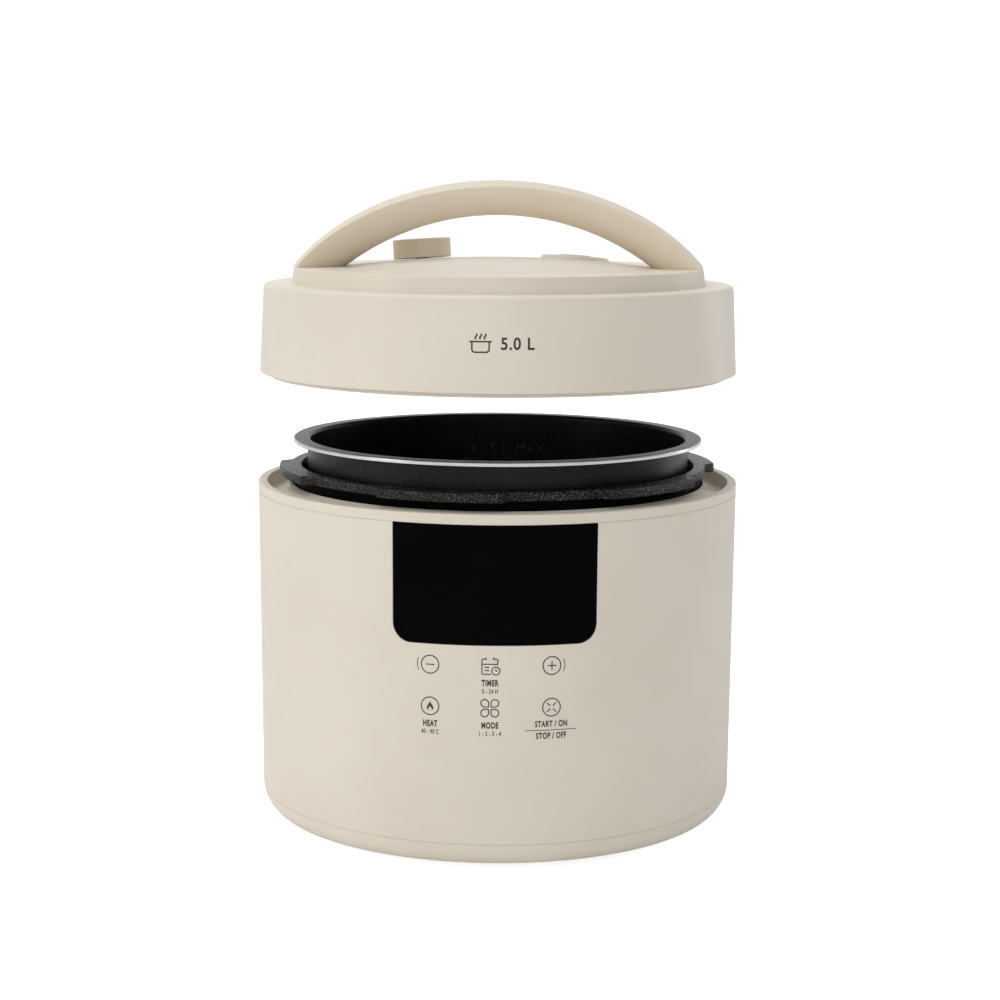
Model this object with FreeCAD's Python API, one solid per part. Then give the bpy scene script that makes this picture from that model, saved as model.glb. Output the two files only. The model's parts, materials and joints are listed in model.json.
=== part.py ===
import FreeCAD, Part
import math
import os

os.makedirs("parts", exist_ok=True)

# Electric pressure cooker, drawn with its lid lifted clear of the body.
# Millimetres, +Z up. The origin is on the cooker's axis in the plane that its feet stand on,
# the control panel faces -Y, and radii and heights are taken from that origin.

# ---- body ----
body_space = 21.0            # from the drum to the outside of the wall, at the top
foot_height = 5.0            # from the standing plane to the underside of the base tray
tray_height = 12.0           # curved tray below the wall
wall_height = 177.8          # straight wall, tray to top ring
ring_height = 5.7            # top ring above the wall
wall = 3.0                   # moulded wall of the shell
wall_draft = 1.1             # how much narrower the wall is at the tray
tray_wall = 2.6
tray_curve = 15.0            # radius of the tray's rounded edge
vent_inner = 36.0            # slots in the tray's floor, from this radius
vent_outer = 64.0
vent_width = 3.2
vent_count = 24
lap = 6.0                    # depth that moulded parts lap inside each other
play = 0.3                   # clearance between parts that are pushed together
edge_round = 0.8             # small round on moulded outside edges

# ---- feet ----
foot_azimuth = 50.0          # from the front and from the back
foot_inset = 16.5            # from the body's outside to the feet
foot_width = 14.0
foot_span = 24.0             # degrees
pad_thickness = 2.4          # rubber pad let into each foot
pad_recess = 1.0
pad_margin = 2.0             # foot left standing round the pad

# ---- cooking pot ----
pot_radius = 113.4           # outside of the pot's wall
pot_wall = 1.8
pot_corner = 18.0            # outside radius between wall and bottom
rim_width = 8.2              # rim beyond the pot's wall
rim_stand = 15.9             # rim's top above the bayonet flange
rim_thickness = 2.5
rim_round = 1.2

# ---- heating plate and what hangs below it ----
plate_inset = 21.4           # heating plate inside the pot's outside
plate_thickness = 9.0
element_inset = 22.0         # heating tube's centre line, in from the plate's edge
element_tube = 4.2           # radius of the heating tube
element_rib = 3.0            # aluminium round the heating tube
element_rib_round = 2.4
terminal_gap = 26.0          # degrees between the two ends of the heating tube
terminal_length = 14.0
terminal_radius = 1.6
spring_plate_thickness = 0.8
spring_plate_width = 7.0     # how far the diaphragm reaches out from under the heating plate
sensor_radius = 14.0
sensor_travel = 2.0
sensor_cap_height = 7.5
sensor_gap = 0.5             # round the sensor cap
sensor_skin = 1.0            # sheet of the sensor cap and its bracket
sensor_spring_height = 9.0
sensor_spring_wire = 1.2
sensor_bracket_lip = 6.0     # bracket beyond the sensor cap
sensor_bead = 2.0            # radius of the thermistor
fuse_radius = 2.6
fuse_length = 16.0
fuse_lead = 0.9              # radius of the fuse's leads
fuse_clip = 1.0              # thickness of the clip that holds the fuse
fuse_azimuth = 150.0
fuse_circle = 41.0
switch_azimuth = 40.0
switch_circle = 46.0
switch_length = 20.0
switch_width = 10.0
switch_plunger = 4.0         # plunger's length above the switch

# ---- outer drum and bayonet ----
pot_gap = 6.9                # pot to the inside of the drum
drum_wall = 1.2
drum_corner = 8.0
drum_hole = 30.0             # radius of the opening in the drum's floor
drum_stand = 33.0            # tray's floor to the drum
drum_floor_gap = 6.0         # drum's underside to the rib round the heating tube
bayonet_height = 5.2
bayonet_stand = 4.1          # bayonet's underside above the top ring
bayonet_pot_gap = 3.6        # pot to the bayonet's bore
bayonet_overhang = 2.5       # recesses of the bayonet beyond the drum
bayonet_lug_reach = 6.0      # lugs beyond the recesses
lug_count = 6
lug_span = 30.0              # degrees, each lug of the bayonet
lug_slant = 3.5              # degrees, slanted end of a lug
first_lug = -15.0            # azimuth of the first lug from the front
bayonet_round = 0.8
shield_gap = 5.5             # heat shield to the posts
shield_drop = 14.0           # heat shield below the drum's floor
shield_wall = 0.6
shield_round = 2.0
shield_hole_margin = 6.0     # opening of the shield beyond the drum's
post_inset = 13.5            # posts in from the drum's outside
post_radius = 4.0
post_azimuth = 45.0

# ---- top ring ----
ring_lip = 5.5               # width of the ring's flat rim
cone_outer_drop = 5.0        # rim down to the outer edge of the sloping front
cone_inner_drop = 1.2        # rim down to the inner edge of the sloping front
channel_drop = 8.5           # rim down to the floor of the drip channel at the back
channel_span = 210.0         # degrees of drip channel round the back
ring_wall = 2.2
ring_bore_gap = 1.0          # top ring to drum

# ---- control panel ----
panel_azimuth = -0.35
lens_half_width = 55.4
lens_height = 65.4
lens_corner = 10.5
lens_thickness = 1.8
lens_gap = 0.15
lens_ledge = 3.0             # ledge behind the edge of the lens
cutter_reach = 28.0          # cutting shapes start this far off the wall
board_edge_gap = 1.1         # side edges of the control board to the wall
board_height = 100.0
board_ring_gap = 2.0         # top ring's lap to the board
board_thickness = 1.6
board_gap = 6.0              # drum to control board
display_width = 52.0
display_height = 30.0
display_gap = 1.2
display_drop = 18.0          # top of the wall to the top of the display module
key_radius = 4.0             # touch springs
key_azimuths = (-14.6, -1.3, 12.4)
key_drops = (11.5, 34.7)     # touch springs below the lens, one for each row
key_gap = 0.4

# ---- power inlet at the back ----
inlet_width = 28.0
inlet_height = 20.0
inlet_depth = 18.0
inlet_rise = 3.0             # inlet above the tray's lap
inlet_wall = 1.8
inlet_corner = 3.0
inlet_flange = 3.5           # flange round the socket
inlet_flange_thickness = 2.0
inlet_proud = 0.4            # flange in front of the wall's furthest point
pin_spacing = 7.0            # live and neutral from the centre
pin_earth_rise = 4.0
pin_width = 4.0
pin_thickness = 2.0
pin_length = 11.0
pin_tail = 5.0
power_board_length = 76.0
power_board_width = 52.0
power_board_thickness = 1.6
power_board_stand = 5.0      # tray floor to the power board
power_board_x = -70.0
power_board_y = 8.0
wire_radius = 1.4
wire_bend = 6.0
wire_straight = 9.6          # wires leave the pins straight for this far
relay_width = 16.0
relay_height = 10.0
terminal_block = 6.0         # height of the block that holds the mains wires
signal_radius = 1.8
signal_x = -20.0
signal_run = 30.0            # cable's first run, along X

# ---- condensate cup at the back ----
cup_width = 62.0
cup_height = 46.0
cup_depth = 24.0
cup_wall = 1.8
cup_corner = 6.0
cup_drop = 2.8               # rim of the cup below the spout
cup_prong_thickness = 3.0
cup_prong_half_width = 6.0
cup_prong_x = 18.0
cup_prong_length = 9.0
cup_prong_drop = 14.0        # rim of the cup to the prongs
cup_gap = 0.4
spout_radius = 3.2
spout_wall = 1.0
spout_drop = 22.0            # channel floor to the spout's mouth

# ---- lid ----
lid_lift = 63.8              # drawn this far above its closed place
lid_seat_gap = 0.6           # skirt above the top ring when closed
lid_inset = 1.5              # foot of the skirt inside the body's outside
lid_draft = 2.6              # how much narrower the skirt is at the shoulder
lid_skirt_height = 51.6
shoulder_round = 2.6
lid_wall = 2.6
ledge_width = 16.4           # shoulder's outside to the foot of the cap's wall
cap_wall_height = 9.5
cap_draft = 1.5
cap_flat_width = 30.0        # flat band round the dome
dome_height = 5.5
cap_thickness = 2.6
cap_round = 0.6
lining_wall = 1.8            # lining ring seen just below the skirt
lining_drop = 2.6            # lining below the skirt

# ---- metal lid plate with its lugs ----
plate_wall = 1.6
plate_skirt_gap = 0.4        # metal skirt to lining
plate_lug_gap = 1.4          # metal skirt to the bayonet's lugs
lug_engage = 4.0             # lid lugs reach inside the bayonet's lugs
lug_thickness = 3.8
lug_clear = 0.6              # lid lug to the bayonet's underside
lug_side_gap = 1.0           # degrees left beside a lid lug in its recess
rim_clearance = 3.2          # lid plate above the pot's rim when closed
plate_boss_radius = 5.0
plate_screw_inset = 8.0      # lid screws in from the edge of the cover's dish

# ---- inner cover and its seal ----
cover_inset = 12.6           # cover's edge in from the pot's rim
cover_wall = 1.0
cover_dish = 9.0             # depth of the dished middle
cover_edge = 17.0            # from the cover's edge in to its dish
cover_slope = 5.0
cover_round = 2.0
cover_hole_radius = 3.0
cover_hole_inset = 18.0      # holes in from the edge of the dish
cover_hole_count = 12
seal_height = 2.6
seal_seat_gap = 0.3          # seal above the pot's rim when closed
seal_lip = 5.0
stud_radius = 4.0
stud_gap = 0.3
grommet_wall = 2.6
stud_head_radius = 7.0
stud_head_thickness = 1.6

# ---- steam valve ----
valve_x = -46.5
valve_handle_gap = 0.8       # knob to the handle
valve_radius = 17.5
valve_height = 11.5
valve_skin = 3.0             # knob's top above the pipe's end
valve_needle_length = 6.0
valve_rise = 0.4             # knob's underside above the dome
valve_bore_gap = 0.3
pipe_radius = 4.0
pipe_bore = 1.6
pipe_flange_radius = 9.0
pipe_flange_thickness = 1.6
filter_radius = 12.0
filter_height = 6.5
filter_wall = 0.8
filter_slot = 1.6
filter_slots = 12

# ---- release button ----
button_x = 46.5
button_handle_gap = 4.8      # pad to the handle
pad_radius = 21.5
pad_rise = 2.0
pad_bevel = 1.6
button_radius = 10.0
button_rise = 0.8
button_travel = 2.0
button_gap = 0.3
button_head = 5.0
button_stem_radius = 2.6
button_stem_gap = 0.3
button_well_wall = 1.6
button_spring_wire = 0.8
button_spring_room = 7.0     # spring's length with the button pressed

# ---- float valve ----
float_x = 18.0
float_y = 58.0
float_radius = 2.6
float_gap = 0.3
float_travel = 4.0
float_head_radius = 5.0
float_head_thickness = 1.6
float_guide_wall = 2.0
float_guide_height = 9.0
float_under = 7.0            # pin below the lid plate
float_seal_height = 1.0

# ---- handle ----
handle_top_rise = 50.7       # crown of the grip above the cap's rim
handle_curve_extra = 20.5    # the crown's ellipse reaches this far beyond the cap's rim
handle_end_rise = 1.2        # crown above the cap where it meets the rim
handle_foot = 30.1           # length of each end on the cap
handle_thickness = 20.4      # grip at the middle
handle_half_width = 18.0     # at the middle
handle_end_half_width = 30.0
handle_screw_inset = 16.5
handle_screw_y = 14.0

# ---- screws and magnet ----
screw_radius = 1.6
screw_head_radius = 3.2
screw_head_height = 2.2
screw_head_round = 0.7
screw_length = 12.0
magnet_radius = 5.0
magnet_thickness = 3.0
magnet_rise = 1.0            # magnet above the foot of the skirt
reed_length = 14.0
reed_width = 6.0
reed_height = 4.0
lid_sensor_azimuth = 28.0

parts = {}
axis_up = FreeCAD.Vector(0, 0, 1)
origin = FreeCAD.Vector(0, 0, 0)

# heights that follow from the sizes above
tray_z = foot_height
wall_z = tray_z + tray_height
seam_z = wall_z + wall_height
ring_top_z = seam_z + ring_height
tray_floor_z = tray_z + tray_wall
drum_floor_z = tray_floor_z + drum_stand
element_z = drum_floor_z + drum_floor_gap + element_rib + element_tube
plate_under_z = element_z + element_tube
plate_top_z = plate_under_z + plate_thickness
bayonet_bottom_z = ring_top_z + bayonet_stand
bayonet_top_z = bayonet_bottom_z + bayonet_height
rim_top_z = bayonet_top_z + rim_stand
inlet_z = wall_z + lap + inlet_rise + inlet_height / 2
skirt_foot_z = ring_top_z + lid_seat_gap + lid_lift
shoulder_z = skirt_foot_z + lid_skirt_height
cap_rim_z = shoulder_z + cap_wall_height
spout_z = ring_top_z - channel_drop - spout_drop
lens_low_z = seam_z - play - lens_height
cup_bottom_z = spout_z - spout_radius - cup_drop - cup_height

# radii that follow from the sizes above
rim_radius = pot_radius + rim_width
drum_radius = pot_radius + pot_gap + drum_wall
body_radius = drum_radius + body_space
foot_radius_out = body_radius - foot_inset
foot_radius_in = foot_radius_out - foot_width
plate_radius = pot_radius - plate_inset
element_radius = plate_radius - element_inset
bayonet_bore = pot_radius + bayonet_pot_gap
bayonet_recess_radius = drum_radius + bayonet_overhang
bayonet_lug_radius = bayonet_recess_radius + bayonet_lug_reach
post_circle = drum_radius - post_inset
shield_radius = post_circle - post_radius - shield_gap
lid_foot_radius = body_radius - lid_inset
lid_shoulder_radius = lid_foot_radius - lid_draft
cap_radius = lid_shoulder_radius - ledge_width
cap_rim_radius = cap_radius - cap_draft
lid_plate_radius = bayonet_lug_radius + plate_lug_gap + plate_wall
lining_radius = lid_plate_radius + plate_skirt_gap + lining_wall
cover_radius = rim_radius - cover_inset
cover_dish_radius = cover_radius - cover_edge
cover_hole_circle = cover_dish_radius - cover_hole_inset
plate_screw_circle = cover_dish_radius - plate_screw_inset
handle_screw_x = cap_rim_radius - handle_screw_inset
dome_radius_plan = cap_rim_radius - cap_flat_width
lid_plate_z = rim_top_z + rim_clearance + lid_lift
wall_foot_radius = body_radius - wall_draft
# the dome is part of a ball of this radius
dome_ball = (dome_radius_plan ** 2 + dome_height ** 2) / (2 * dome_height)
dome_centre_z = cap_rim_z + dome_height - dome_ball

# the handle's sides are arcs that widen towards the ends
handle_widening = handle_end_half_width - handle_half_width
handle_side_radius = (cap_rim_radius ** 2 + handle_widening ** 2) / (2 * handle_widening)


def handle_side(x):
    """Half width of the handle at a place along X."""
    return handle_half_width + handle_side_radius - math.sqrt(handle_side_radius ** 2 - x ** 2)


valve_y = handle_side(valve_x) + valve_handle_gap + valve_radius
button_y = handle_side(button_x) + button_handle_gap + pad_radius


def rounded_wire(corners):
    """A closed outline in the XZ plane through (x, z, corner radius) points, with true arcs."""
    count = len(corners)
    ends = []
    for i, (x, z, radius) in enumerate(corners):
        here = FreeCAD.Vector(x, 0, z)
        back = FreeCAD.Vector(corners[i - 1][0], 0, corners[i - 1][1]) - here
        ahead_corner = corners[(i + 1) % count]
        ahead = FreeCAD.Vector(ahead_corner[0], 0, ahead_corner[1]) - here
        back.normalize()
        ahead.normalize()
        if radius == 0:
            ends.append((here, None, here))
            continue
        half = back.getAngle(ahead) / 2
        reach = radius / math.tan(half)
        middle_line = back + ahead
        middle_line.normalize()
        middle = here + middle_line * (radius / math.sin(half) - radius)
        ends.append((here + back * reach, middle, here + ahead * reach))
    edges = []
    for i, (start, middle, stop) in enumerate(ends):
        if middle:
            edges.append(Part.Arc(start, middle, stop).toShape())
        following = ends[(i + 1) % count][0]
        if stop.distanceToPoint(following) > 1e-6:
            edges.append(Part.LineSegment(stop, following).toShape())
    return Part.Wire(edges)


def turned(corners, start=0.0, sweep=360.0):
    """A solid of revolution about Z of (radius, z) or (radius, z, corner radius) points."""
    outline = rounded_wire([(*c, 0) if len(c) == 2 else c for c in corners])
    solid = Part.Face(outline).revolve(origin, axis_up, sweep)
    solid.rotate(origin, axis_up, start)
    return solid


def disc(radius, z_low, z_high, x=0.0, y=0.0):
    return Part.makeCylinder(radius, z_high - z_low, FreeCAD.Vector(x, y, z_low))


def tube(radius, bore, z_low, z_high, x=0.0, y=0.0):
    return disc(radius, z_low, z_high, x, y).cut(disc(bore, z_low, z_high, x, y))


def block(x_low, x_high, y_low, y_high, z_low, z_high):
    corner = FreeCAD.Vector(x_low, y_low, z_low)
    return Part.makeBox(x_high - x_low, y_high - y_low, z_high - z_low, corner)


def plate(corners, y_low, y_high):
    """A rounded outline in the XZ plane, made solid from y_low to y_high."""
    face = Part.Face(rounded_wire(corners))
    face.translate(FreeCAD.Vector(0, y_low, 0))
    return face.extrude(FreeCAD.Vector(0, y_high - y_low, 0))


def round_box(x_low, x_high, y_low, y_high, z_low, z_high, corner):
    """A box with its four edges along Z rounded."""
    solid = block(x_low, x_high, y_low, y_high, z_low, z_high)
    upright = [e for e in solid.Edges if abs(e.Vertexes[0].Z - e.Vertexes[-1].Z) > 1e-6]
    return solid.makeFillet(corner, upright)


def at_azimuth(shape, azimuth):
    """A copy turned about Z, with azimuth 0 at the front and growing towards +X."""
    copy = shape.copy()
    copy.rotate(origin, axis_up, azimuth)
    return copy


def around(radius, azimuth):
    """The (x, y) place at a radius and an azimuth counted from the front towards +X."""
    angle = math.radians(azimuth)
    return radius * math.sin(angle), -radius * math.cos(angle)


def sector(span, radius, z_low, z_high):
    """A wedge of the given angle, centred on the front."""
    wedge = Part.makeCylinder(radius, z_high - z_low, FreeCAD.Vector(0, 0, z_low), axis_up, span)
    wedge.rotate(origin, axis_up, -90 - span / 2)
    return wedge


def group(solids):
    return Part.makeCompound(solids)


def fused(first, *others):
    return first.multiFuse(list(others)).removeSplitter()


def wall_radius(z):
    """Outside radius of the tapering wall at a height."""
    return wall_foot_radius + wall_draft * (z - wall_z) / wall_height


def wall_layer(depth_out, depth_in, z_low, z_high):
    """The part of the tapering wall between two depths below its outside."""
    low, high = wall_radius(z_low), wall_radius(z_high)
    return turned([(low - depth_in, z_low), (low - depth_out, z_low),
                   (high - depth_out, z_high), (high - depth_in, z_high)])


def dome_z(x, y, sink=0.0):
    """Height of the cap's top at (x, y), or of the layer that lies sink below it."""
    distance = math.hypot(x, y)
    if distance > dome_radius_plan:
        return cap_rim_z - sink
    return dome_centre_z + math.sqrt((dome_ball - sink) ** 2 - distance ** 2)


def dome_tilt(shape, x, y):
    """A copy of a shape drawn upright over the axis, set on the dome at (x, y), square to it."""
    copy = shape.copy()
    lean = math.degrees(math.asin(math.hypot(x, y) / dome_ball))
    copy.rotate(origin, FreeCAD.Vector(-y, x, 0), lean)
    copy.translate(FreeCAD.Vector(x, y, dome_z(x, y)))
    return copy


def screw(x, y, head_z, upward):
    """A pan-head screw whose head bears at head_z and whose shank runs up or down from there."""
    body = turned([(0, -screw_head_height), (screw_head_radius, -screw_head_height, screw_head_round),
                   (screw_head_radius, 0), (screw_radius, 0), (screw_radius, screw_length),
                   (0, screw_length)])
    if not upward:
        body.rotate(origin, FreeCAD.Vector(1, 0, 0), 180)
    body.translate(FreeCAD.Vector(x, y, head_z))
    return body


def spring_sleeve(radius, wire, z_low, z_high):
    """The envelope of a compression spring: a sleeve with one ripple for each coil."""
    coils = max(3, int((z_high - z_low) / (wire * 2)))
    pitch = (z_high - z_low) / coils
    outer, inner = [], []
    for i in range(coils):
        foot = z_low + i * pitch
        outer += [(radius - wire / 2, foot), (radius, foot + pitch / 2)]
        inner += [(radius - wire, foot), (radius - wire / 2, foot + pitch / 2)]
    outer.append((radius - wire / 2, z_high))
    inner.append((radius - wire, z_high))
    return turned(outer + inner[::-1])


def run_of_tube(points, radius, bend):
    """A wire or pipe: straight runs along the points, joined by tangent arcs."""
    path = [FreeCAD.Vector(*p) for p in points]
    edges, start = [], path[0]
    for before, corner, after in zip(path, path[1:], path[2:]):
        back = (before - corner).normalize()
        ahead = (after - corner).normalize()
        half = back.getAngle(ahead) / 2
        reach = bend / math.tan(half)
        middle = corner + (back + ahead).normalize() * (bend / math.sin(half) - bend)
        edges.append(Part.LineSegment(start, corner + back * reach).toShape())
        edges.append(Part.Arc(corner + back * reach, middle, corner + ahead * reach).toShape())
        start = corner + ahead * reach
    edges.append(Part.LineSegment(start, path[-1]).toShape())
    spine = Part.Wire(edges)
    section = Part.Wire(Part.makeCircle(radius, path[0], path[1] - path[0]))
    return spine.makePipeShell([section], True, False)


def lug_ring(recess_radius, lug_radius, span, slant, z_low, z_high):
    """A disc whose edge steps out to evenly spaced lugs with slanted ends."""
    edges = []
    pitch = 360 / lug_count
    for k in range(lug_count):
        middle = first_lug + k * pitch
        turns = (-span / 2 - slant, -span / 2, span / 2, span / 2 + slant)
        radii = (recess_radius, lug_radius, lug_radius, recess_radius)
        foot, start, stop, end = [
            FreeCAD.Vector(*around(r, middle + t), z_low) for r, t in zip(radii, turns)]
        crest = FreeCAD.Vector(*around(lug_radius, middle), z_low)
        hollow = FreeCAD.Vector(*around(recess_radius, middle + pitch / 2), z_low)
        following = FreeCAD.Vector(*around(recess_radius, middle + pitch + turns[0]), z_low)
        edges += [Part.LineSegment(foot, start).toShape(), Part.Arc(start, crest, stop).toShape(),
                  Part.LineSegment(stop, end).toShape(), Part.Arc(end, hollow, following).toShape()]
    return Part.Face(Part.Wire(edges)).extrude(FreeCAD.Vector(0, 0, z_high - z_low))


def lens_prism(margin, z_high):
    """The lens outline grown by a margin, as a block reaching through the front of the wall."""
    half = lens_half_width + margin
    z_low = lens_low_z - margin
    solid = plate([(-half, z_low, lens_corner + margin), (half, z_low, lens_corner + margin),
                   (half, z_high, 0), (-half, z_high, 0)],
                  -body_radius - cutter_reach, cutter_reach - body_radius)
    return at_azimuth(solid, panel_azimuth)


def cap_solid(inset):
    """Everything under the cap's top, or under the layer that lies inset below it."""
    top = cap_rim_z - inset
    drum = turned([(0, shoulder_z - lap), (cap_radius - inset, shoulder_z - lap),
                   (cap_radius - inset, shoulder_z), (cap_rim_radius - inset, top, cap_round), (0, top)])
    ball = Part.makeSphere(dome_ball - inset, FreeCAD.Vector(0, 0, dome_centre_z))
    dome = ball.common(disc(dome_radius_plan, shoulder_z, shoulder_z + dome_ball))
    return fused(drum, dome)


def cap_bore(radius, x, y):
    """A hole through the cap, square to the dome."""
    depth = cap_thickness * 3
    return dome_tilt(disc(radius, -depth, depth), x, y)


def feet_places():
    return [foot_azimuth, 180 - foot_azimuth, 180 + foot_azimuth, -foot_azimuth]


def foot_block(margin, z_low, z_high):
    """One foot's curved block, shrunk on every side by a margin."""
    ring = tube(foot_radius_out - margin, foot_radius_in + margin, z_low, z_high)
    shrink = 2 * math.degrees(margin / foot_radius_in)
    return ring.common(sector(foot_span - shrink, body_radius, z_low, z_high))


# ---- base tray, feet and the posts that carry the drum ----
def make_base():
    curve_centre = wall_foot_radius - tray_curve
    edge_radius = curve_centre + math.sqrt(tray_curve ** 2 - tray_height ** 2)
    half_turn = math.asin(tray_height / tray_curve) / 2
    middle = FreeCAD.Vector(curve_centre + tray_curve * math.cos(half_turn), 0,
                            wall_z - tray_curve * math.sin(half_turn))
    spigot = wall_foot_radius - wall - play
    corners = [(wall_foot_radius, wall_z), (spigot, wall_z), (spigot, wall_z + lap),
               (spigot - tray_wall, wall_z + lap), (spigot - tray_wall, tray_floor_z),
               (0, tray_floor_z), (0, tray_z), (edge_radius, tray_z)]
    points = [FreeCAD.Vector(x, 0, z) for x, z in corners]
    edges = [Part.LineSegment(a, b).toShape() for a, b in zip(points, points[1:])]
    edges.append(Part.Arc(points[-1], middle, points[0]).toShape())
    tray = Part.Face(Part.Wire(edges)).revolve(origin, axis_up, 360)

    foot_z = pad_thickness - pad_recess
    foot = foot_block(0, foot_z, tray_z).cut(foot_block(pad_margin, foot_z, pad_thickness))
    pad = foot_block(pad_margin, 0, pad_thickness)
    tray = fused(tray, *[at_azimuth(foot, a) for a in feet_places()])

    slot = block(vent_inner, vent_outer, -vent_width / 2, vent_width / 2, tray_z, tray_floor_z)
    slots = [at_azimuth(slot, k * 360 / vent_count) for k in range(vent_count)]
    posts, low_screws, high_screws, bores = [], [], [], []
    for azimuth in (post_azimuth, 180 - post_azimuth, 180 + post_azimuth, -post_azimuth):
        x, y = around(post_circle, azimuth)
        low = screw(x, y, tray_z, True)
        high = screw(x, y, drum_floor_z + drum_wall, False)
        posts.append(disc(post_radius, tray_floor_z, drum_floor_z, x, y).cut(group([low, high])))
        low_screws.append(low)
        high_screws.append(high)
        bores.append(disc(screw_radius + play, tray_z, tray_floor_z, x, y))
    parts["base_tray"] = tray.cut(group(slots + bores))
    parts["rubber_feet"] = group([at_azimuth(pad, a) for a in feet_places()])
    parts["drum_posts"] = group(posts)
    parts["base_screws"] = group(low_screws)
    parts["drum_screws"] = group(high_screws)


# ---- outer shell with its openings ----
def make_shell():
    shell = wall_layer(0, wall, wall_z, seam_z)
    pocket = lens_prism(lens_gap, seam_z + lap).common(
        wall_layer(-wall, lens_thickness + lens_gap, wall_z, seam_z))
    window = lens_prism(-lens_ledge, seam_z - play - lens_ledge)
    flange = plate(inlet_outline(inlet_flange + play), inlet_back_y(), body_radius + cutter_reach)
    socket = plate(inlet_outline(play), 0, body_radius + cutter_reach)
    spout = spout_hole()
    slots = cup_prongs(cup_gap)
    parts["outer_shell"] = shell.cut(group([pocket, window])).cut(flange).cut(socket).cut(spout).cut(slots)
    parts["display_lens"] = lens_prism(0, seam_z - play).common(
        wall_layer(0, lens_thickness, wall_z, seam_z))


# ---- electronics behind the panel ----
def make_panel_electronics():
    board_back = drum_radius + board_gap
    board_front = board_back + board_thickness
    board_top = seam_z - lap - board_ring_gap
    wall_inside = wall_radius(board_top - board_height) - wall - board_edge_gap
    half = math.sqrt(wall_inside ** 2 - board_front ** 2)
    board = block(-half, half, -board_front, -board_back, board_top - board_height, board_top)
    display_top = seam_z - display_drop
    display_low = display_top - display_height
    reach = wall_radius(display_low) - wall - display_gap
    display_front = math.sqrt(reach ** 2 - (display_width / 2) ** 2)
    parts["control_board"] = board
    parts["display_module"] = block(-display_width / 2, display_width / 2, -display_front,
                                    -board_front, display_low, display_top)
    springs = []
    for z in [lens_low_z - drop for drop in key_drops]:
        for azimuth in key_azimuths:
            x = around(wall_radius(z), azimuth)[0]
            reach = wall_radius(z - key_radius) - wall - key_gap
            front = math.sqrt(reach ** 2 - (abs(x) + key_radius) ** 2)
            key = disc(key_radius, 0, front - board_front)
            key = key.cut(disc(key_radius / 2, key_gap, front - board_front))
            key.rotate(origin, FreeCAD.Vector(1, 0, 0), 90)
            key.translate(FreeCAD.Vector(x, -board_front, z))
            springs.append(key)
    parts["touch_springs"] = group(springs)
    parts["lid_sensor"] = block(-reed_length / 2, reed_length / 2, -board_front - reed_height,
                                -board_front, board_top - reed_width, board_top)
    return board_top - board_height, (board_front + board_back) / 2


# ---- top ring with its drip channel, and the drain ----
def ring_section(behind):
    """Outline of the top ring: a sloping face at the front, a drip channel at the back."""
    bore = drum_radius + ring_bore_gap
    lip = body_radius - ring_lip
    spigot = body_radius - wall - play
    slope_low = ring_top_z - cone_outer_drop
    slope_high = ring_top_z - cone_inner_drop
    rim = [(body_radius, seam_z), (body_radius, ring_top_z, edge_round), (lip, ring_top_z, edge_round)]
    if behind:
        floor = ring_top_z - channel_drop
        inside = [(lip, floor, ring_wall / 2), (bore + ring_wall, floor, ring_wall / 2),
                  (bore + ring_wall, slope_high), (bore, slope_high), (bore, floor - ring_wall),
                  (spigot - ring_wall, floor - ring_wall)]
    else:
        inside = [(lip, slope_low), (bore, slope_high), (bore, slope_high - ring_wall),
                  (spigot - ring_wall, slope_low - ring_wall)]
    foot = [(spigot - ring_wall, seam_z - lap), (spigot, seam_z - lap), (spigot, seam_z)]
    return rim + inside + foot


def channel_middle():
    return (body_radius - ring_lip + drum_radius + ring_bore_gap + ring_wall) / 2


def spout_path():
    """From the channel's floor down behind the wall, then out over the cup."""
    start = ring_top_z - channel_drop
    return [(0, channel_middle(), start), (0, channel_middle(), spout_z),
            (0, body_radius + cup_gap + cup_wall + spout_radius * 2, spout_z)]


def spout_hole():
    path = spout_path()
    hole = disc(spout_radius + play, 0, path[2][1] - path[1][1])
    hole.rotate(origin, FreeCAD.Vector(1, 0, 0), -90)
    hole.translate(FreeCAD.Vector(*path[1]))
    return hole


def make_top_ring():
    front = turned(ring_section(False), 90 + channel_span / 2, 360 - channel_span)
    back = turned(ring_section(True), 90 - channel_span / 2, channel_span)
    path = spout_path()
    pipe = run_of_tube(path, spout_radius, spout_radius + spout_wall)
    bore = run_of_tube(path, spout_radius - spout_wall, spout_radius + spout_wall)
    drain = disc(spout_radius - spout_wall, path[0][2] - ring_wall, path[0][2], 0, path[0][1])
    under = path[0][2] - ring_wall
    clear = block(-body_radius, body_radius, 0, body_radius * 2, under, seam_z * 2)
    parts["top_ring"] = fused(front, back).cut(drain)
    parts["drain_spout"] = pipe.cut(bore).cut(clear)


# ---- condensate cup at the back ----
def cup_prongs(grow):
    """The two flat prongs that plug the cup into the wall."""
    prongs = []
    z_low = cup_bottom_z + cup_height - cup_prong_drop
    for side in (-1, 1):
        middle = side * cup_prong_x
        prongs.append(block(middle - cup_prong_half_width - grow, middle + cup_prong_half_width + grow,
                            body_radius - cup_prong_length - grow, body_radius + cup_wall,
                            z_low - grow, z_low + cup_prong_thickness + grow))
    return group(prongs)


def make_cup():
    half = cup_width / 2
    back = body_radius + cup_depth
    top = cup_bottom_z + cup_height
    outer = round_box(-half, half, 0, back, cup_bottom_z, top, cup_corner)
    inner = round_box(-half + cup_wall, half - cup_wall, 0, back - cup_wall,
                      cup_bottom_z + cup_wall, top, cup_corner - cup_wall)
    near = body_radius + cup_gap
    outer = outer.cut(disc(near, 0, ring_top_z))
    inner = inner.cut(disc(near + cup_wall, 0, ring_top_z))
    prongs = [p.common(disc(near + cup_wall / 2, 0, ring_top_z)) for p in cup_prongs(0).Solids]
    parts["condensate_cup"] = fused(outer.cut(inner), *prongs)


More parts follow.
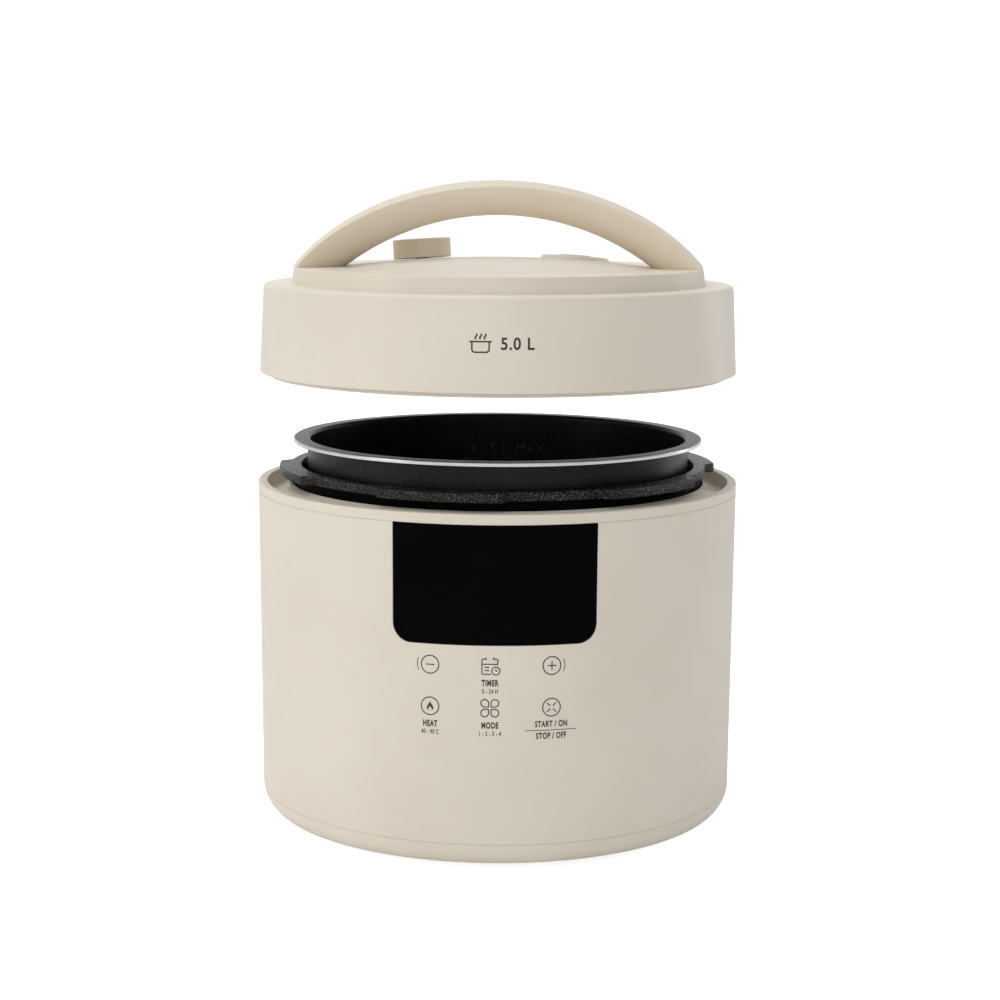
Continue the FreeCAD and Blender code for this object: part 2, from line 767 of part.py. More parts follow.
# ---- outer drum, bayonet, heat shield ----
def make_drum():
    low, high = drum_floor_z, bayonet_bottom_z
    outside, inside = drum_radius, drum_radius - drum_wall
    drum = turned([(drum_hole, low), (outside, low, drum_corner), (outside, high), (inside, high),
                   (inside, low + drum_wall, drum_corner - drum_wall), (drum_hole, low + drum_wall)])
    holes = [disc(terminal_radius * 2, low, low + drum_wall, x, y) for x, y in terminal_places()]
    holes += [disc(screw_radius + play, low, low + drum_wall, *around(post_circle, a))
              for a in (post_azimuth, 180 - post_azimuth, 180 + post_azimuth, -post_azimuth)]
    parts["outer_drum"] = drum.cut(group(holes))

    top = bayonet_top_z
    flange = lug_ring(bayonet_recess_radius, bayonet_lug_radius, lug_span, lug_slant,
                      bayonet_bottom_z, top)
    flange = flange.cut(disc(bayonet_bore, bayonet_bottom_z, top))
    rims = [e for e in flange.Edges if e.BoundBox.ZMin > top - 1e-6]
    parts["bayonet_flange"] = flange.makeFillet(bayonet_round, rims)

    floor = drum_floor_z - shield_drop
    shield = turned([(drum_hole + shield_hole_margin, floor), (shield_radius, floor, shield_round),
                     (shield_radius, drum_floor_z), (shield_radius - shield_wall, drum_floor_z),
                     (shield_radius - shield_wall, floor + shield_wall, shield_round - shield_wall),
                     (drum_hole + shield_hole_margin, floor + shield_wall)])
    leads = [disc(terminal_radius * 2, floor, floor + shield_wall, x, y) for x, y in terminal_places()]
    parts["heat_shield"] = shield.cut(group(leads))


def terminal_places():
    """The two ends of the heating tube, on the -X side."""
    inset = math.degrees(element_tube / element_radius)
    return [around(element_radius, -90 + side * (terminal_gap / 2 + inset)) for side in (-1, 1)]


# ---- heating plate, its tube, and the parts round it ----
def make_heater():
    ring = Part.makeTorus(element_radius, element_tube, FreeCAD.Vector(0, 0, element_z), axis_up,
                          -180, 180, 360 - terminal_gap)
    ring.rotate(origin, axis_up, 180 + terminal_gap / 2)
    rods = [disc(terminal_radius, element_z - terminal_length, element_z, x, y)
            for x, y in terminal_places()]
    element = fused(ring, *rods)
    rib = element_tube + element_rib
    rib_z = plate_under_z - element_tube * 2 - element_rib
    bore = sensor_radius + sensor_gap
    heater = turned([(bore, plate_under_z), (element_radius - rib, plate_under_z),
                     (element_radius - rib, rib_z, element_rib_round),
                     (element_radius + rib, rib_z, element_rib_round),
                     (element_radius + rib, plate_under_z), (plate_radius, plate_under_z),
                     (plate_radius, plate_top_z, edge_round * 2), (bore, plate_top_z)])
    parts["heat_plate"] = heater.cut(element)
    parts["heating_element"] = element

    seat_radius = plate_radius + spring_plate_width
    under = plate_under_z - spring_plate_thickness
    parts["plate_diaphragm"] = tube(seat_radius, element_radius + rib + play, under, plate_under_z)
    seat_foot = drum_floor_z + drum_wall
    seat = tube(seat_radius, seat_radius - drum_wall, seat_foot, under)
    parts["plate_seat"] = seat

    x, y = around(switch_circle, switch_azimuth)
    head = under - switch_plunger
    body = block(x - switch_length / 2, x + switch_length / 2, y - switch_width / 2,
                 y + switch_width / 2, seat_foot, head)
    parts["pressure_switch"] = fused(body, disc(switch_plunger / 2, head, plate_under_z, x, y))

    fuse = disc(fuse_radius, -fuse_length / 2, fuse_length / 2)
    fuse.rotate(origin, FreeCAD.Vector(0, 1, 0), 90)
    leads = disc(fuse_lead, -fuse_length, fuse_length)
    leads.rotate(origin, FreeCAD.Vector(0, 1, 0), 90)
    clip = block(-fuse_length / 4, fuse_length / 4, -fuse_radius * 2, fuse_radius * 2,
                 fuse_radius - fuse_clip, fuse_radius)
    shape = fused(fuse, leads, clip)
    x, y = around(fuse_circle, fuse_azimuth)
    shape.translate(FreeCAD.Vector(x, y, plate_under_z - fuse_radius))
    parts["thermal_fuse"] = shape


# ---- sprung temperature sensor in the middle of the heating plate ----
def make_sensor():
    skin = sensor_skin
    low = plate_top_z - sensor_cap_height
    cap = turned([(0, plate_top_z - skin), (sensor_radius - skin, plate_top_z - skin),
                  (sensor_radius - skin, low), (sensor_radius, low),
                  (sensor_radius, plate_top_z, edge_round), (0, plate_top_z)])
    floor = plate_top_z - skin - sensor_spring_height
    bracket_radius = sensor_radius + sensor_bracket_lip
    parts["sensor_cap"] = cap
    parts["sensor_bracket"] = turned([(0, floor - skin), (bracket_radius, floor - skin),
                                      (bracket_radius, plate_under_z), (bracket_radius - skin, plate_under_z),
                                      (bracket_radius - skin, floor), (0, floor)])
    parts["sensor_spring"] = spring_sleeve(sensor_radius - skin * 3, sensor_spring_wire, floor,
                                           plate_top_z - skin)
    parts["thermistor"] = disc(sensor_bead, plate_top_z - skin - sensor_bead * 2, plate_top_z - skin)


# ---- power inlet, power board and wiring ----
def inlet_back_y():
    """The flange's rear face: its front stands just proud of the wall."""
    return body_radius + inlet_proud - inlet_flange_thickness


def inlet_outline(grow):
    half, tall = inlet_width / 2 + grow, inlet_height / 2 + grow
    corner = max(1.0, inlet_corner + grow)
    return [(-half, inlet_z - tall, corner), (half, inlet_z - tall, corner),
            (half, inlet_z + tall, corner), (-half, inlet_z + tall, corner)]


def make_power(board_low, board_y):
    front = body_radius + inlet_proud
    back = front - inlet_depth
    body = fused(plate(inlet_outline(0), back, front),
                 plate(inlet_outline(inlet_flange), inlet_back_y(), front))
    cavity = plate(inlet_outline(-inlet_wall), back + inlet_wall, front)
    pins = []
    for x, rise in ((-pin_spacing, 0), (pin_spacing, 0), (0, pin_earth_rise)):
        z = inlet_z + rise - pin_earth_rise / 2
        pins.append(block(x - pin_thickness / 2, x + pin_thickness / 2, back - pin_tail,
                          back + inlet_wall + pin_length, z - pin_width / 2, z + pin_width / 2))
    parts["power_inlet"] = body.cut(cavity).cut(group(pins))
    parts["inlet_pins"] = group(pins)

    base = tray_floor_z + power_board_stand
    top = base + power_board_thickness
    x_low, x_high = power_board_x - power_board_width / 2, power_board_x + power_board_width / 2
    y_low, y_high = power_board_y - power_board_length / 2, power_board_y + power_board_length / 2
    card = block(x_low, x_high, y_low, y_high, base, top)
    legs = [disc(post_radius / 2, tray_floor_z, base, x, y)
            for x in (x_low + post_radius, x_high - post_radius)
            for y in (y_low + post_radius, y_high - post_radius)]
    ends = terminal_places()
    relay_x, relay_y = ends[0][0], abs(ends[0][1]) + post_radius
    relay = block(relay_x - relay_width / 2, relay_x + relay_width / 2, -relay_y, relay_y,
                  top, top + relay_height)
    wire_z = top + terminal_block / 2
    clamp = block(x_high - terminal_block * 3, x_high, y_high - terminal_block * 2, y_high,
                  top, top + terminal_block)
    parts["power_board"] = fused(card, *legs, relay, clamp)
    parts["element_leads"] = group([disc(wire_radius, top + relay_height,
                                         element_z - terminal_length, x, y) for x, y in ends])

    wires = []
    turn_y = back - pin_tail - wire_straight
    live_z = inlet_z - pin_earth_rise / 2
    for side, end_x in ((-1, x_high - terminal_block * 2), (1, x_high - terminal_block)):
        x = side * pin_spacing
        reach = x - end_x
        wires.append(run_of_tube([(x, back - pin_tail, live_z), (x, turn_y, live_z), (x, turn_y, wire_z),
                                  (end_x, turn_y - reach, wire_z), (end_x, y_high, wire_z)],
                                 wire_radius, wire_bend))
    parts["mains_wires"] = group(wires)
    signal_z = top + signal_radius * 2
    path = [(signal_x - signal_run, y_low, signal_z), (signal_x, -board_y, signal_z),
            (signal_x, -board_y, board_low)]
    parts["signal_cable"] = run_of_tube(path, signal_radius, wire_bend)


# ---- cooking pot ----
def make_pot():
    inside = pot_radius - pot_wall
    under = rim_top_z - rim_thickness
    parts["inner_pot"] = turned([
        (0, plate_top_z), (pot_radius, plate_top_z, pot_corner), (pot_radius, under),
        (rim_radius, under, rim_round / 2), (rim_radius, rim_top_z, rim_round),
        (inside, rim_top_z, rim_thickness - rim_round / 2),
        (inside, plate_top_z + pot_wall, pot_corner - pot_wall), (0, plate_top_z + pot_wall)])


# ---- lid: plastic outside ----
def make_lid_shell():
    ledge = cap_radius - cap_thickness - play
    inner_foot = lid_foot_radius - lid_wall
    inner_top = lid_shoulder_radius - lid_wall
    parts["lid_skirt"] = turned([
        (inner_foot, skirt_foot_z), (lid_foot_radius, skirt_foot_z, edge_round),
        (lid_shoulder_radius, shoulder_z, shoulder_round), (ledge, shoulder_z),
        (ledge, shoulder_z - lid_wall), (inner_top, shoulder_z - lid_wall)])
    parts["lid_lining"] = tube(lining_radius, lining_radius - lining_wall,
                               skirt_foot_z - lining_drop, shoulder_z - lid_wall)

    spigot = ledge - play
    bridge = tube(cap_radius - cap_thickness / 2, spigot - cap_thickness, shoulder_z,
                  shoulder_z + cap_thickness)
    collar = tube(spigot, spigot - cap_thickness, shoulder_z - lap, shoulder_z)
    top = cap_solid(0).common(disc(body_radius, shoulder_z, shoulder_z * 2))
    cap = fused(top.cut(cap_solid(cap_thickness)), bridge, collar)
    bosses, screws = [], []
    plate_top = lid_plate_z + plate_wall
    for azimuth in (45, 135, 225, 315):
        x, y = around(plate_screw_circle, azimuth)
        bosses.append(disc(plate_boss_radius, plate_top, cap_rim_z - cap_thickness / 2, x, y))
        screws.append(screw(x, y, lid_plate_z, True))
    cap = fused(cap, *bosses).cut(group(screws))
    holes = [cap_bore(pipe_radius + play, valve_x, valve_y),
             cap_bore(button_well_radius() + play, button_x, button_y)]
    holes += [disc(screw_radius + play, cap_rim_z - cap_thickness * 2, cap_rim_z * 2, x, y)
              for x, y in handle_screw_places()]
    parts["lid_cap"] = cap.cut(group(holes))
    parts["lid_screws"] = group(screws)
    parts["handle_screws"] = group(handle_screws())
    magnet_out = inner_foot - play * 2
    magnet = block(-magnet_radius, magnet_radius, -magnet_out, -magnet_out + magnet_thickness,
                   skirt_foot_z + magnet_rise,
                   skirt_foot_z + magnet_rise + magnet_radius * 2)
    clear = disc(lining_radius, skirt_foot_z, shoulder_z)
    parts["lid_magnet"] = at_azimuth(magnet.cut(clear), lid_sensor_azimuth)


def handle_screw_places():
    return [(x, y) for x in (-handle_screw_x, handle_screw_x) for y in (-handle_screw_y, handle_screw_y)]


def handle_screws():
    return [screw(x, y, cap_rim_z - cap_thickness, True) for x, y in handle_screw_places()]


# ---- arched handle ----
def make_handle():
    crown_z = cap_rim_z + handle_top_rise
    low = cap_rim_z - cap_thickness
    # an ellipse that has its crown in the middle and comes down to the rim of the cap
    half_length = cap_rim_radius + handle_curve_extra
    end_share = cap_rim_radius / half_length
    half_height = (handle_top_rise - handle_end_rise) / (1 - math.sqrt(1 - end_share ** 2))
    centre = FreeCAD.Vector(0, 0, crown_z - half_height)
    crown = Part.Ellipse(FreeCAD.Vector(half_length, 0, centre.z), FreeCAD.Vector(0, 0, crown_z), centre)
    end = math.acos(end_share)
    top = Part.Arc(crown, end, math.pi - end).toShape()
    ends = sorted([v.Point for v in top.Vertexes], key=lambda p: p.x)
    arch_rise = handle_top_rise - handle_thickness
    arch_half = cap_rim_radius - handle_foot
    arch_radius = (arch_half ** 2 + arch_rise ** 2) / (2 * arch_rise)
    arch_z = cap_rim_z + arch_rise - arch_radius
    arch_x = math.sqrt(arch_radius ** 2 - (low - arch_z) ** 2)
    left, right = FreeCAD.Vector(-arch_x, 0, low), FreeCAD.Vector(arch_x, 0, low)
    arch = Part.Arc(left, FreeCAD.Vector(0, 0, arch_z + arch_radius), right).toShape()
    left_foot = FreeCAD.Vector(ends[0].x, 0, low)
    right_foot = FreeCAD.Vector(ends[1].x, 0, low)
    outline = Part.Wire(Part.__sortEdges__([
        top, arch, Part.LineSegment(ends[0], left_foot).toShape(),
        Part.LineSegment(left_foot, left).toShape(), Part.LineSegment(right, right_foot).toShape(),
        Part.LineSegment(right_foot, ends[1]).toShape()]))
    face = Part.Face(outline)
    face.translate(FreeCAD.Vector(0, -body_radius, 0))
    side_view = face.extrude(FreeCAD.Vector(0, body_radius * 2, 0))

    reach = cap_rim_radius
    corners = [FreeCAD.Vector(x, y, low) for x, y in (
        (-reach, -handle_end_half_width), (reach, -handle_end_half_width),
        (reach, handle_end_half_width), (-reach, handle_end_half_width))]
    near, far = FreeCAD.Vector(0, -handle_half_width, low), FreeCAD.Vector(0, handle_half_width, low)
    plan = Part.Wire([Part.Arc(corners[0], near, corners[1]).toShape(),
                      Part.LineSegment(corners[1], corners[2]).toShape(),
                      Part.Arc(corners[2], far, corners[3]).toShape(),
                      Part.LineSegment(corners[3], corners[0]).toShape()])
    plan_view = Part.Face(plan).extrude(FreeCAD.Vector(0, 0, handle_top_rise * 2))
    grip = side_view.common(plan_view).common(disc(cap_rim_radius, low, crown_z + 1))
    parts["handle"] = grip.cut(cap_solid(0)).cut(group(handle_screws()))


# ---- metal plate of the lid, and what it carries ----
def make_lid_plate():
    outside = lid_plate_radius
    inside = outside - plate_wall
    lug_top = bayonet_bottom_z - lug_clear + lid_lift
    lug_low = lug_top - lug_thickness
    pan = turned([(0, lid_plate_z), (inside, lid_plate_z, plate_wall), (inside, lug_low),
                  (outside, lug_low), (outside, lid_plate_z + plate_wall, plate_wall * 2),
                  (0, lid_plate_z + plate_wall)])
    lug = tube(inside + plate_wall / 2, bayonet_lug_radius - lug_engage, lug_low, lug_top)
    half_pitch = 180 / lug_count
    span = 2 * half_pitch - lug_span - 2 * lug_slant - lug_side_gap
    lug = lug.common(sector(span, body_radius, lug_low, lug_top))
    lugs = [at_azimuth(lug, first_lug + half_pitch + k * 2 * half_pitch) for k in range(lug_count)]
    bores = [screw(*around(plate_screw_circle, a), lid_plate_z, True) for a in (45, 135, 225, 315)]
    plate_top = lid_plate_z + plate_wall
    through = [disc(pipe_bore * 2, lid_plate_z, plate_top, *pipe_foot()),
               disc(float_radius + float_gap, lid_plate_z, plate_top, float_x, float_y)]
    parts["lid_plate"] = fused(pan, *lugs).cut(group(bores + through))

    guide_bore = float_radius + float_gap
    flange = float_guide_wall * 2
    parts["float_guide"] = fused(
        tube(guide_bore + float_guide_wall, guide_bore, plate_top, plate_top + float_guide_height,
             float_x, float_y),
        tube(guide_bore + flange, guide_bore, plate_top, plate_top + float_guide_wall, float_x, float_y))
    low = lid_plate_z - float_under
    pin = fused(disc(float_radius, low, plate_top + float_guide_height + float_guide_wall, float_x, float_y),
                disc(float_head_radius, low, low + float_head_thickness, float_x, float_y))
    parts["float_valve"] = pin
    seal_low = low + float_head_thickness
    parts["float_seal"] = tube(float_head_radius, float_radius, seal_low, seal_low + float_seal_height,
                               float_x, float_y)


# ---- inner cover, its seal and the stud that holds it ----
def make_inner_cover():
    seal_low = rim_top_z + seal_seat_gap + lid_lift
    edge_z = seal_low + (seal_height - cover_wall) / 2
    dish_z = edge_z - cover_dish
    slope = cover_dish_radius + cover_slope
    bore = stud_radius + stud_gap
    groove = bore + grommet_wall / 2
    cover = turned([(groove, dish_z), (cover_dish_radius, dish_z, cover_round), (slope, edge_z, cover_round),
                    (cover_radius, edge_z), (cover_radius, edge_z + cover_wall),
                    (slope - cover_wall / 2, edge_z + cover_wall, cover_round),
                    (cover_dish_radius - cover_wall / 2, dish_z + cover_wall, cover_round),
                    (groove, dish_z + cover_wall)])
    hole = disc(cover_hole_radius, dish_z, dish_z + cover_wall, 0, -cover_hole_circle)
    holes = [at_azimuth(hole, k * 360 / cover_hole_count) for k in range(cover_hole_count)]
    cover = cover.cut(group(holes))
    seal = tube(rim_radius, cover_radius - seal_lip, seal_low, seal_low + seal_height)
    grommet_low = dish_z - grommet_wall / 2
    grommet_high = dish_z + cover_wall + grommet_wall / 2
    grommet = tube(bore + grommet_wall, bore, grommet_low, grommet_high)
    parts["inner_cover"] = cover
    parts["sealing_ring"] = seal.cut(cover)
    parts["cover_grommet"] = grommet.cut(cover)
    head_top = grommet_low - play
    parts["lid_stud"] = fused(
        disc(stud_radius, head_top - stud_head_thickness, lid_plate_z),
        disc(stud_head_radius, head_top - stud_head_thickness, head_top),
        disc(stud_head_radius, grommet_high + play, lid_plate_z))


# ---- steam valve: pipe, filter, needle and turning knob ----
def pipe_foot():
    """Where the pipe's tilted axis meets the lid plate."""
    lean = math.hypot(valve_x, valve_y) / dome_ball
    drop = dome_z(valve_x, valve_y) - lid_plate_z - plate_wall
    inward = drop * math.tan(math.asin(lean)) / math.hypot(valve_x, valve_y)
    return valve_x * (1 - inward), valve_y * (1 - inward)


def make_steam_valve():
    plate_top = lid_plate_z + plate_wall
    depth = (dome_z(valve_x, valve_y) - plate_top) * 3 / 2
    top = valve_rise + valve_height - valve_skin
    x, y = pipe_foot()
    collar = disc(pipe_flange_radius, plate_top, plate_top + pipe_flange_thickness * 2, x, y)
    pipe = dome_tilt(disc(pipe_radius, -depth, top - play), valve_x, valve_y)
    pipe = pipe.common(disc(body_radius, plate_top, plate_top * 2))
    bore = dome_tilt(disc(pipe_bore, -depth, top), valve_x, valve_y)
    parts["vent_pipe"] = fused(collar, pipe).cut(bore)

    knob = turned([(0, valve_rise), (valve_radius, valve_rise, edge_round / 2),
                   (valve_radius, valve_rise + valve_height, edge_round), (0, valve_rise + valve_height)])
    knob = knob.cut(disc(pipe_radius + valve_bore_gap, valve_rise, top))
    needle_radius = pipe_bore - valve_bore_gap
    needle = disc(needle_radius, top - valve_needle_length, top)
    parts["steam_valve_knob"] = dome_tilt(knob, valve_x, valve_y)
    parts["valve_needle"] = dome_tilt(needle, valve_x, valve_y)

    low = lid_plate_z - filter_height
    shade = disc(filter_radius, low, lid_plate_z, x, y).cut(
        disc(filter_radius - filter_wall, low + filter_wall, lid_plate_z, x, y))
    slots = []
    for k in range(filter_slots // 2):
        slot = block(-body_radius / 4, body_radius / 4, -filter_slot / 2, filter_slot / 2,
                     low + filter_wall * 2, lid_plate_z - filter_wall * 2)
        slot.rotate(origin, axis_up, k * 360 / filter_slots)
        slot.translate(FreeCAD.Vector(x, y, 0))
        slots.append(slot)
    parts["vent_filter"] = shade.cut(group(slots))


# ---- release button in its low round pad ----
def button_well_radius():
    return button_radius + button_gap + button_well_wall


def make_button():
    top = pad_rise + button_rise
    head_low = top - button_head
    floor = head_low - button_travel - button_spring_room
    pad = turned([(0, -cap_thickness), (pad_radius, -cap_thickness), (pad_radius, 0),
                  (pad_radius - pad_bevel, pad_rise, edge_round), (0, pad_rise)])
    pad = dome_tilt(pad, button_x, button_y).cut(cap_solid(0))
    well = dome_tilt(tube(button_well_radius(), button_radius + button_gap, floor, pad_rise / 2),
                     button_x, button_y)
    stem_hole = button_stem_radius + button_stem_gap
    base = dome_tilt(tube(button_well_radius(), stem_hole, floor - button_well_wall, floor),
                     button_x, button_y)
    hole = dome_tilt(disc(button_radius + button_gap, floor, top), button_x, button_y)
    parts["button_bezel"] = fused(pad, well, base).cut(hole)
    head = disc(button_radius, head_low, top)
    head = head.makeFillet(edge_round, [e for e in head.Edges if e.BoundBox.ZMin > top - 1e-6])
    button = fused(head, disc(button_stem_radius, floor - button_well_wall * 3, head_low))
    parts["release_button"] = dome_tilt(button, button_x, button_y)
    parts["button_spring"] = dome_tilt(
        spring_sleeve(button_radius - button_spring_wire, button_spring_wire, floor, head_low),
        button_x, button_y)


make_base()
make_shell()
board_low_z, board_middle_y = make_panel_electronics()
make_top_ring()
make_cup()
make_drum()
make_heater()
make_sensor()
make_power(board_low_z, board_middle_y)
make_pot()
make_lid_shell()
make_handle()
make_lid_plate()
make_inner_cover()
make_steam_valve()
make_button()

for name, shape in parts.items():
    shape.exportStep(f"parts/{name}.step")
    print(name, len(shape.Solids), round(shape.Volume), shape.isValid())
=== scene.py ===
import json
import math

import bmesh
import bpy
import numpy as np
from mathutils import Matrix, Vector


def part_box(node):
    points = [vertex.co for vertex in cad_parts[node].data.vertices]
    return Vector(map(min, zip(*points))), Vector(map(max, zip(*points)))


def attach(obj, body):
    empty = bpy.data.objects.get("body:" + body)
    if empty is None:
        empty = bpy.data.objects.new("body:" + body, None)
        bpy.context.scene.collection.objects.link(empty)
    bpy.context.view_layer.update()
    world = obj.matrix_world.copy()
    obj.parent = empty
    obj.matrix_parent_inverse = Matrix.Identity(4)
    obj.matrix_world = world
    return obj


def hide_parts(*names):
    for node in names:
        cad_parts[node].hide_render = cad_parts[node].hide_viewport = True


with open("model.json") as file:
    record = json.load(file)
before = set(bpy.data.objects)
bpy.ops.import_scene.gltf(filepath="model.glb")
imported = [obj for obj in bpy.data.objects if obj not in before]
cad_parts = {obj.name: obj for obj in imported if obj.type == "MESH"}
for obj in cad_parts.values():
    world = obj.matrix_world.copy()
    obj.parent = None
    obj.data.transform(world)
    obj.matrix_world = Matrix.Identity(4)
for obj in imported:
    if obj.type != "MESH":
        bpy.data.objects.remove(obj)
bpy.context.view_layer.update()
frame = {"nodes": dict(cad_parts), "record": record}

print("frame loaded:", len(frame["nodes"]), "nodes")

# Lengths here are millimetres, and azimuth is 0 at the front and grows towards +X.


# lowest and highest corner of a CAD node
def nodeBox(node):
    low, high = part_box(node)
    return np.array(low) * 1000, np.array(high) * 1000


# camera and light
view = dict(lens=75.28, distance=1243.0, aside=1.63, height=380.2, pitch=8.86, roll=0.37)


# a camera pitched down and rolled about its own line of sight
def makeCamera(s):
    data = bpy.data.cameras.new("camera")
    data.lens, data.sensor_width, data.clip_end = s["lens"], 36.0, 100.0
    camera = bpy.data.objects.new("camera", data)
    bpy.context.scene.collection.objects.link(camera)
    pitch, roll = math.radians(s["pitch"]), math.radians(s["roll"])
    ahead = Vector((0, math.cos(pitch), -math.sin(pitch)))
    level = Vector((0, math.sin(pitch), math.cos(pitch)))
    right = Vector((1, 0, 0)) * math.cos(roll) + level * math.sin(roll)
    up = level * math.cos(roll) - Vector((1, 0, 0)) * math.sin(roll)
    place = Vector((s["aside"], -s["distance"], s["height"])) / 1000
    camera.matrix_world = Matrix.Translation(place) @ Matrix((right, up, -ahead)).transposed().to_4x4()
    bpy.context.scene.camera = camera


softboxes = [
    dict(name="overhead", place=(-0.4, 0.1, 1.9), aim=(0, 0, 0.2), size=(1.4, 1.4), power=7, tint="#ffffff"),
    dict(name="keyLeft", place=(-1.9, -0.9, 1.0), aim=(0, 0, 0.2), size=(0.9, 1.6), power=8, tint="#fffaf2"),
    dict(name="rimRight", place=(1.7, 1.1, 0.7), aim=(0, 0, 0.2), size=(0.4, 1.4), power=4, tint="#f4f7ff"),
]


# sRGB hex to linear, by the standard's own curve
def linear(hexColour):
    parts = np.array([int(hexColour[i:i + 2], 16) for i in (1, 3, 5)]) / 255
    return tuple(np.where(parts <= 0.04045, parts / 12.92, ((parts + 0.055) / 1.055) ** 2.4)) + (1.0,)


# each softbox is an area lamp turned to face its aim
def makeLights():
    for s in softboxes:
        data = bpy.data.lights.new(s["name"], "AREA")
        data.shape, data.size, data.size_y = "RECTANGLE", s["size"][0], s["size"][1]
        data.energy, data.color = s["power"], linear(s["tint"])[:3]
        lamp = bpy.data.objects.new(s["name"], data)
        place = Vector(s["place"])
        lamp.matrix_world = Matrix.Translation(place) @ (
            Vector(s["aim"]) - place).to_track_quat("-Z", "Y").to_matrix().to_4x4()
        bpy.context.scene.collection.objects.link(lamp)


makeCamera(view)
makeLights()
bpy.context.scene.view_settings.view_transform = "Standard"
print("camera and lights placed")


# adds one node: settings are its own properties, inputs are numbers, colours or another node's output
def addNode(material, kind, settings=None, inputs=None):
    node = material.node_tree.nodes.new(kind)
    for key, value in (settings or {}).items():
        setattr(node, key, value)
    for key, value in (inputs or {}).items():
        if isinstance(value, bpy.types.NodeSocket):
            material.node_tree.links.new(value, node.inputs[key])
        else:
            node.inputs[key].default_value = value
    return node


# a material with its shader, and the object's coordinates in metres
def newMaterial(name, shader):
    material = bpy.data.materials.new(name)
    material.use_nodes = True
    surface = material.node_tree.nodes["Principled BSDF"]
    for key, value in shader.items():
        surface.inputs[key].default_value = value
    place = addNode(material, "ShaderNodeTexCoord").outputs["Object"]
    return material, surface, place


# noise waves per metre for a grain of so many millimetres
def perGrain(millimetres):
    return 1000 / millimetres


# What every finish here has: its colour runs between two tones over part of a 0..1 pattern, its roughness
# drifts between two values over the middle of a pattern, and a pattern may raise it by a height in metres.
def finishSurface(material, surface, tone, gloss, relief=None):
    pattern, low, high, first, last = tone
    colours = addNode(material, "ShaderNodeValToRGB", None, {"Fac": pattern})
    for element, at, colour in zip(colours.color_ramp.elements, (low, high), (first, last)):
        element.position, element.color = at, linear(colour)
    pattern, smooth, rough = gloss
    sheen = addNode(material, "ShaderNodeMapRange", None, {
        "Value": pattern, "From Min": 0.3, "From Max": 0.7, "To Min": smooth, "To Max": rough})
    pairs = [(colours.outputs["Color"], "Base Color"), (sheen.outputs["Result"], "Roughness")]
    if relief:
        height, strength, distance = relief
        bump = addNode(material, "ShaderNodeBump", None, {
            "Strength": strength, "Distance": distance, "Height": height})
        pairs.append((bump.outputs["Normal"], "Normal"))
    for output, socket in pairs:
        material.node_tree.links.new(output, surface.inputs[socket])
    return material


# moulded polypropylene from a spark-eroded tool: a soft even sheen that breaks up into a fine grain,
# with a slow drift of tone where the moulding flowed and cooled
def mouldedPolypropylene(name, tone, shade, grain=0.42, depth=0.018, gloss=(0.42, 0.50)):
    m, surface, place = newMaterial(name, {"IOR": 1.49, "Specular IOR Level": 0.5,
                                           "Subsurface Weight": 0.04, "Subsurface Scale": 0.004})
    slow = addNode(m, "ShaderNodeTexNoise", None,
                   {"Vector": place, "Scale": perGrain(70), "Detail": 3.0, "Roughness": 0.5}).outputs["Fac"]
    fine = addNode(m, "ShaderNodeTexNoise", None,
                   {"Vector": place, "Scale": perGrain(grain * 2), "Detail": 2.0}).outputs["Fac"]
    pits = addNode(m, "ShaderNodeTexVoronoi", {"feature": "SMOOTH_F1"},
                   {"Vector": place, "Scale": perGrain(grain), "Smoothness": 0.6}).outputs["Distance"]
    mixed = addNode(m, "ShaderNodeMath", {"operation": "MULTIPLY_ADD"}, {0: fine, 1: 0.25, 2: slow})
    return finishSurface(m, surface, (mixed.outputs[0], 0.42, 0.82, shade, tone), (fine, *gloss),
                         (pits, 0.35, depth / 1000))


# polished smoked acrylic: a deep black with one sharp reflection, barely dusted
def smokedAcrylic():
    m, surface, place = newMaterial("smokedAcrylicPolished", {"IOR": 1.49, "Specular IOR Level": 0.025})
    haze = addNode(m, "ShaderNodeTexNoise", None,
                   {"Vector": place, "Scale": perGrain(22), "Detail": 4.0}).outputs["Fac"]
    return finishSurface(m, surface, (haze, 0.3, 0.8, "#030304", "#060607"), (haze, 0.04, 0.08))


# die-cast aluminium under a black baked coat: pebbled casting skin, with light grey painted glints at the
# middles of the pebbles; the pebbles are drawn at 1.2 mm, a little coarser than real, so that they show
def castAluminiumBlackCoatPaintedGlints():
    m, surface, place = newMaterial("castAluminiumBlackCoatPaintedGlints", {"IOR": 1.5, "Specular IOR Level": 0.45})
    pebble = addNode(m, "ShaderNodeTexVoronoi", {"feature": "SMOOTH_F1"},
                     {"Vector": place, "Scale": perGrain(1.2), "Smoothness": 0.4}).outputs["Distance"]
    grit = addNode(m, "ShaderNodeTexNoise", None,
                   {"Vector": place, "Scale": perGrain(0.6), "Detail": 3.0}).outputs["Fac"]
    mixed = addNode(m, "ShaderNodeMath", {"operation": "MULTIPLY_ADD"}, {0: grit, 1: 0.5, 2: pebble})
    # painted glints: the pebbles' middles are light grey in the colour, near black elsewhere
    return finishSurface(m, surface, (mixed.outputs[0], 0.34, 0.62, "#7c7d80", "#060607"), (grit, 0.2, 0.36),
                         (mixed.outputs[0], 1.0, 0.0011))


# drawn steel with stoved black enamel: smooth and satin, with the faint waviness of the coat
def stovedEnamel():
    m, surface, place = newMaterial("drawnSteelBlackEnamel", {"IOR": 1.5, "Specular IOR Level": 0.02})
    wave = addNode(m, "ShaderNodeTexNoise", None,
                   {"Vector": place, "Scale": perGrain(9), "Detail": 3.0}).outputs["Fac"]
    return finishSurface(m, surface, (wave, 0.3, 0.8, "#060607", "#0f0f10"), (wave, 0.26, 0.34),
                         (wave, 0.15, 0.0002))
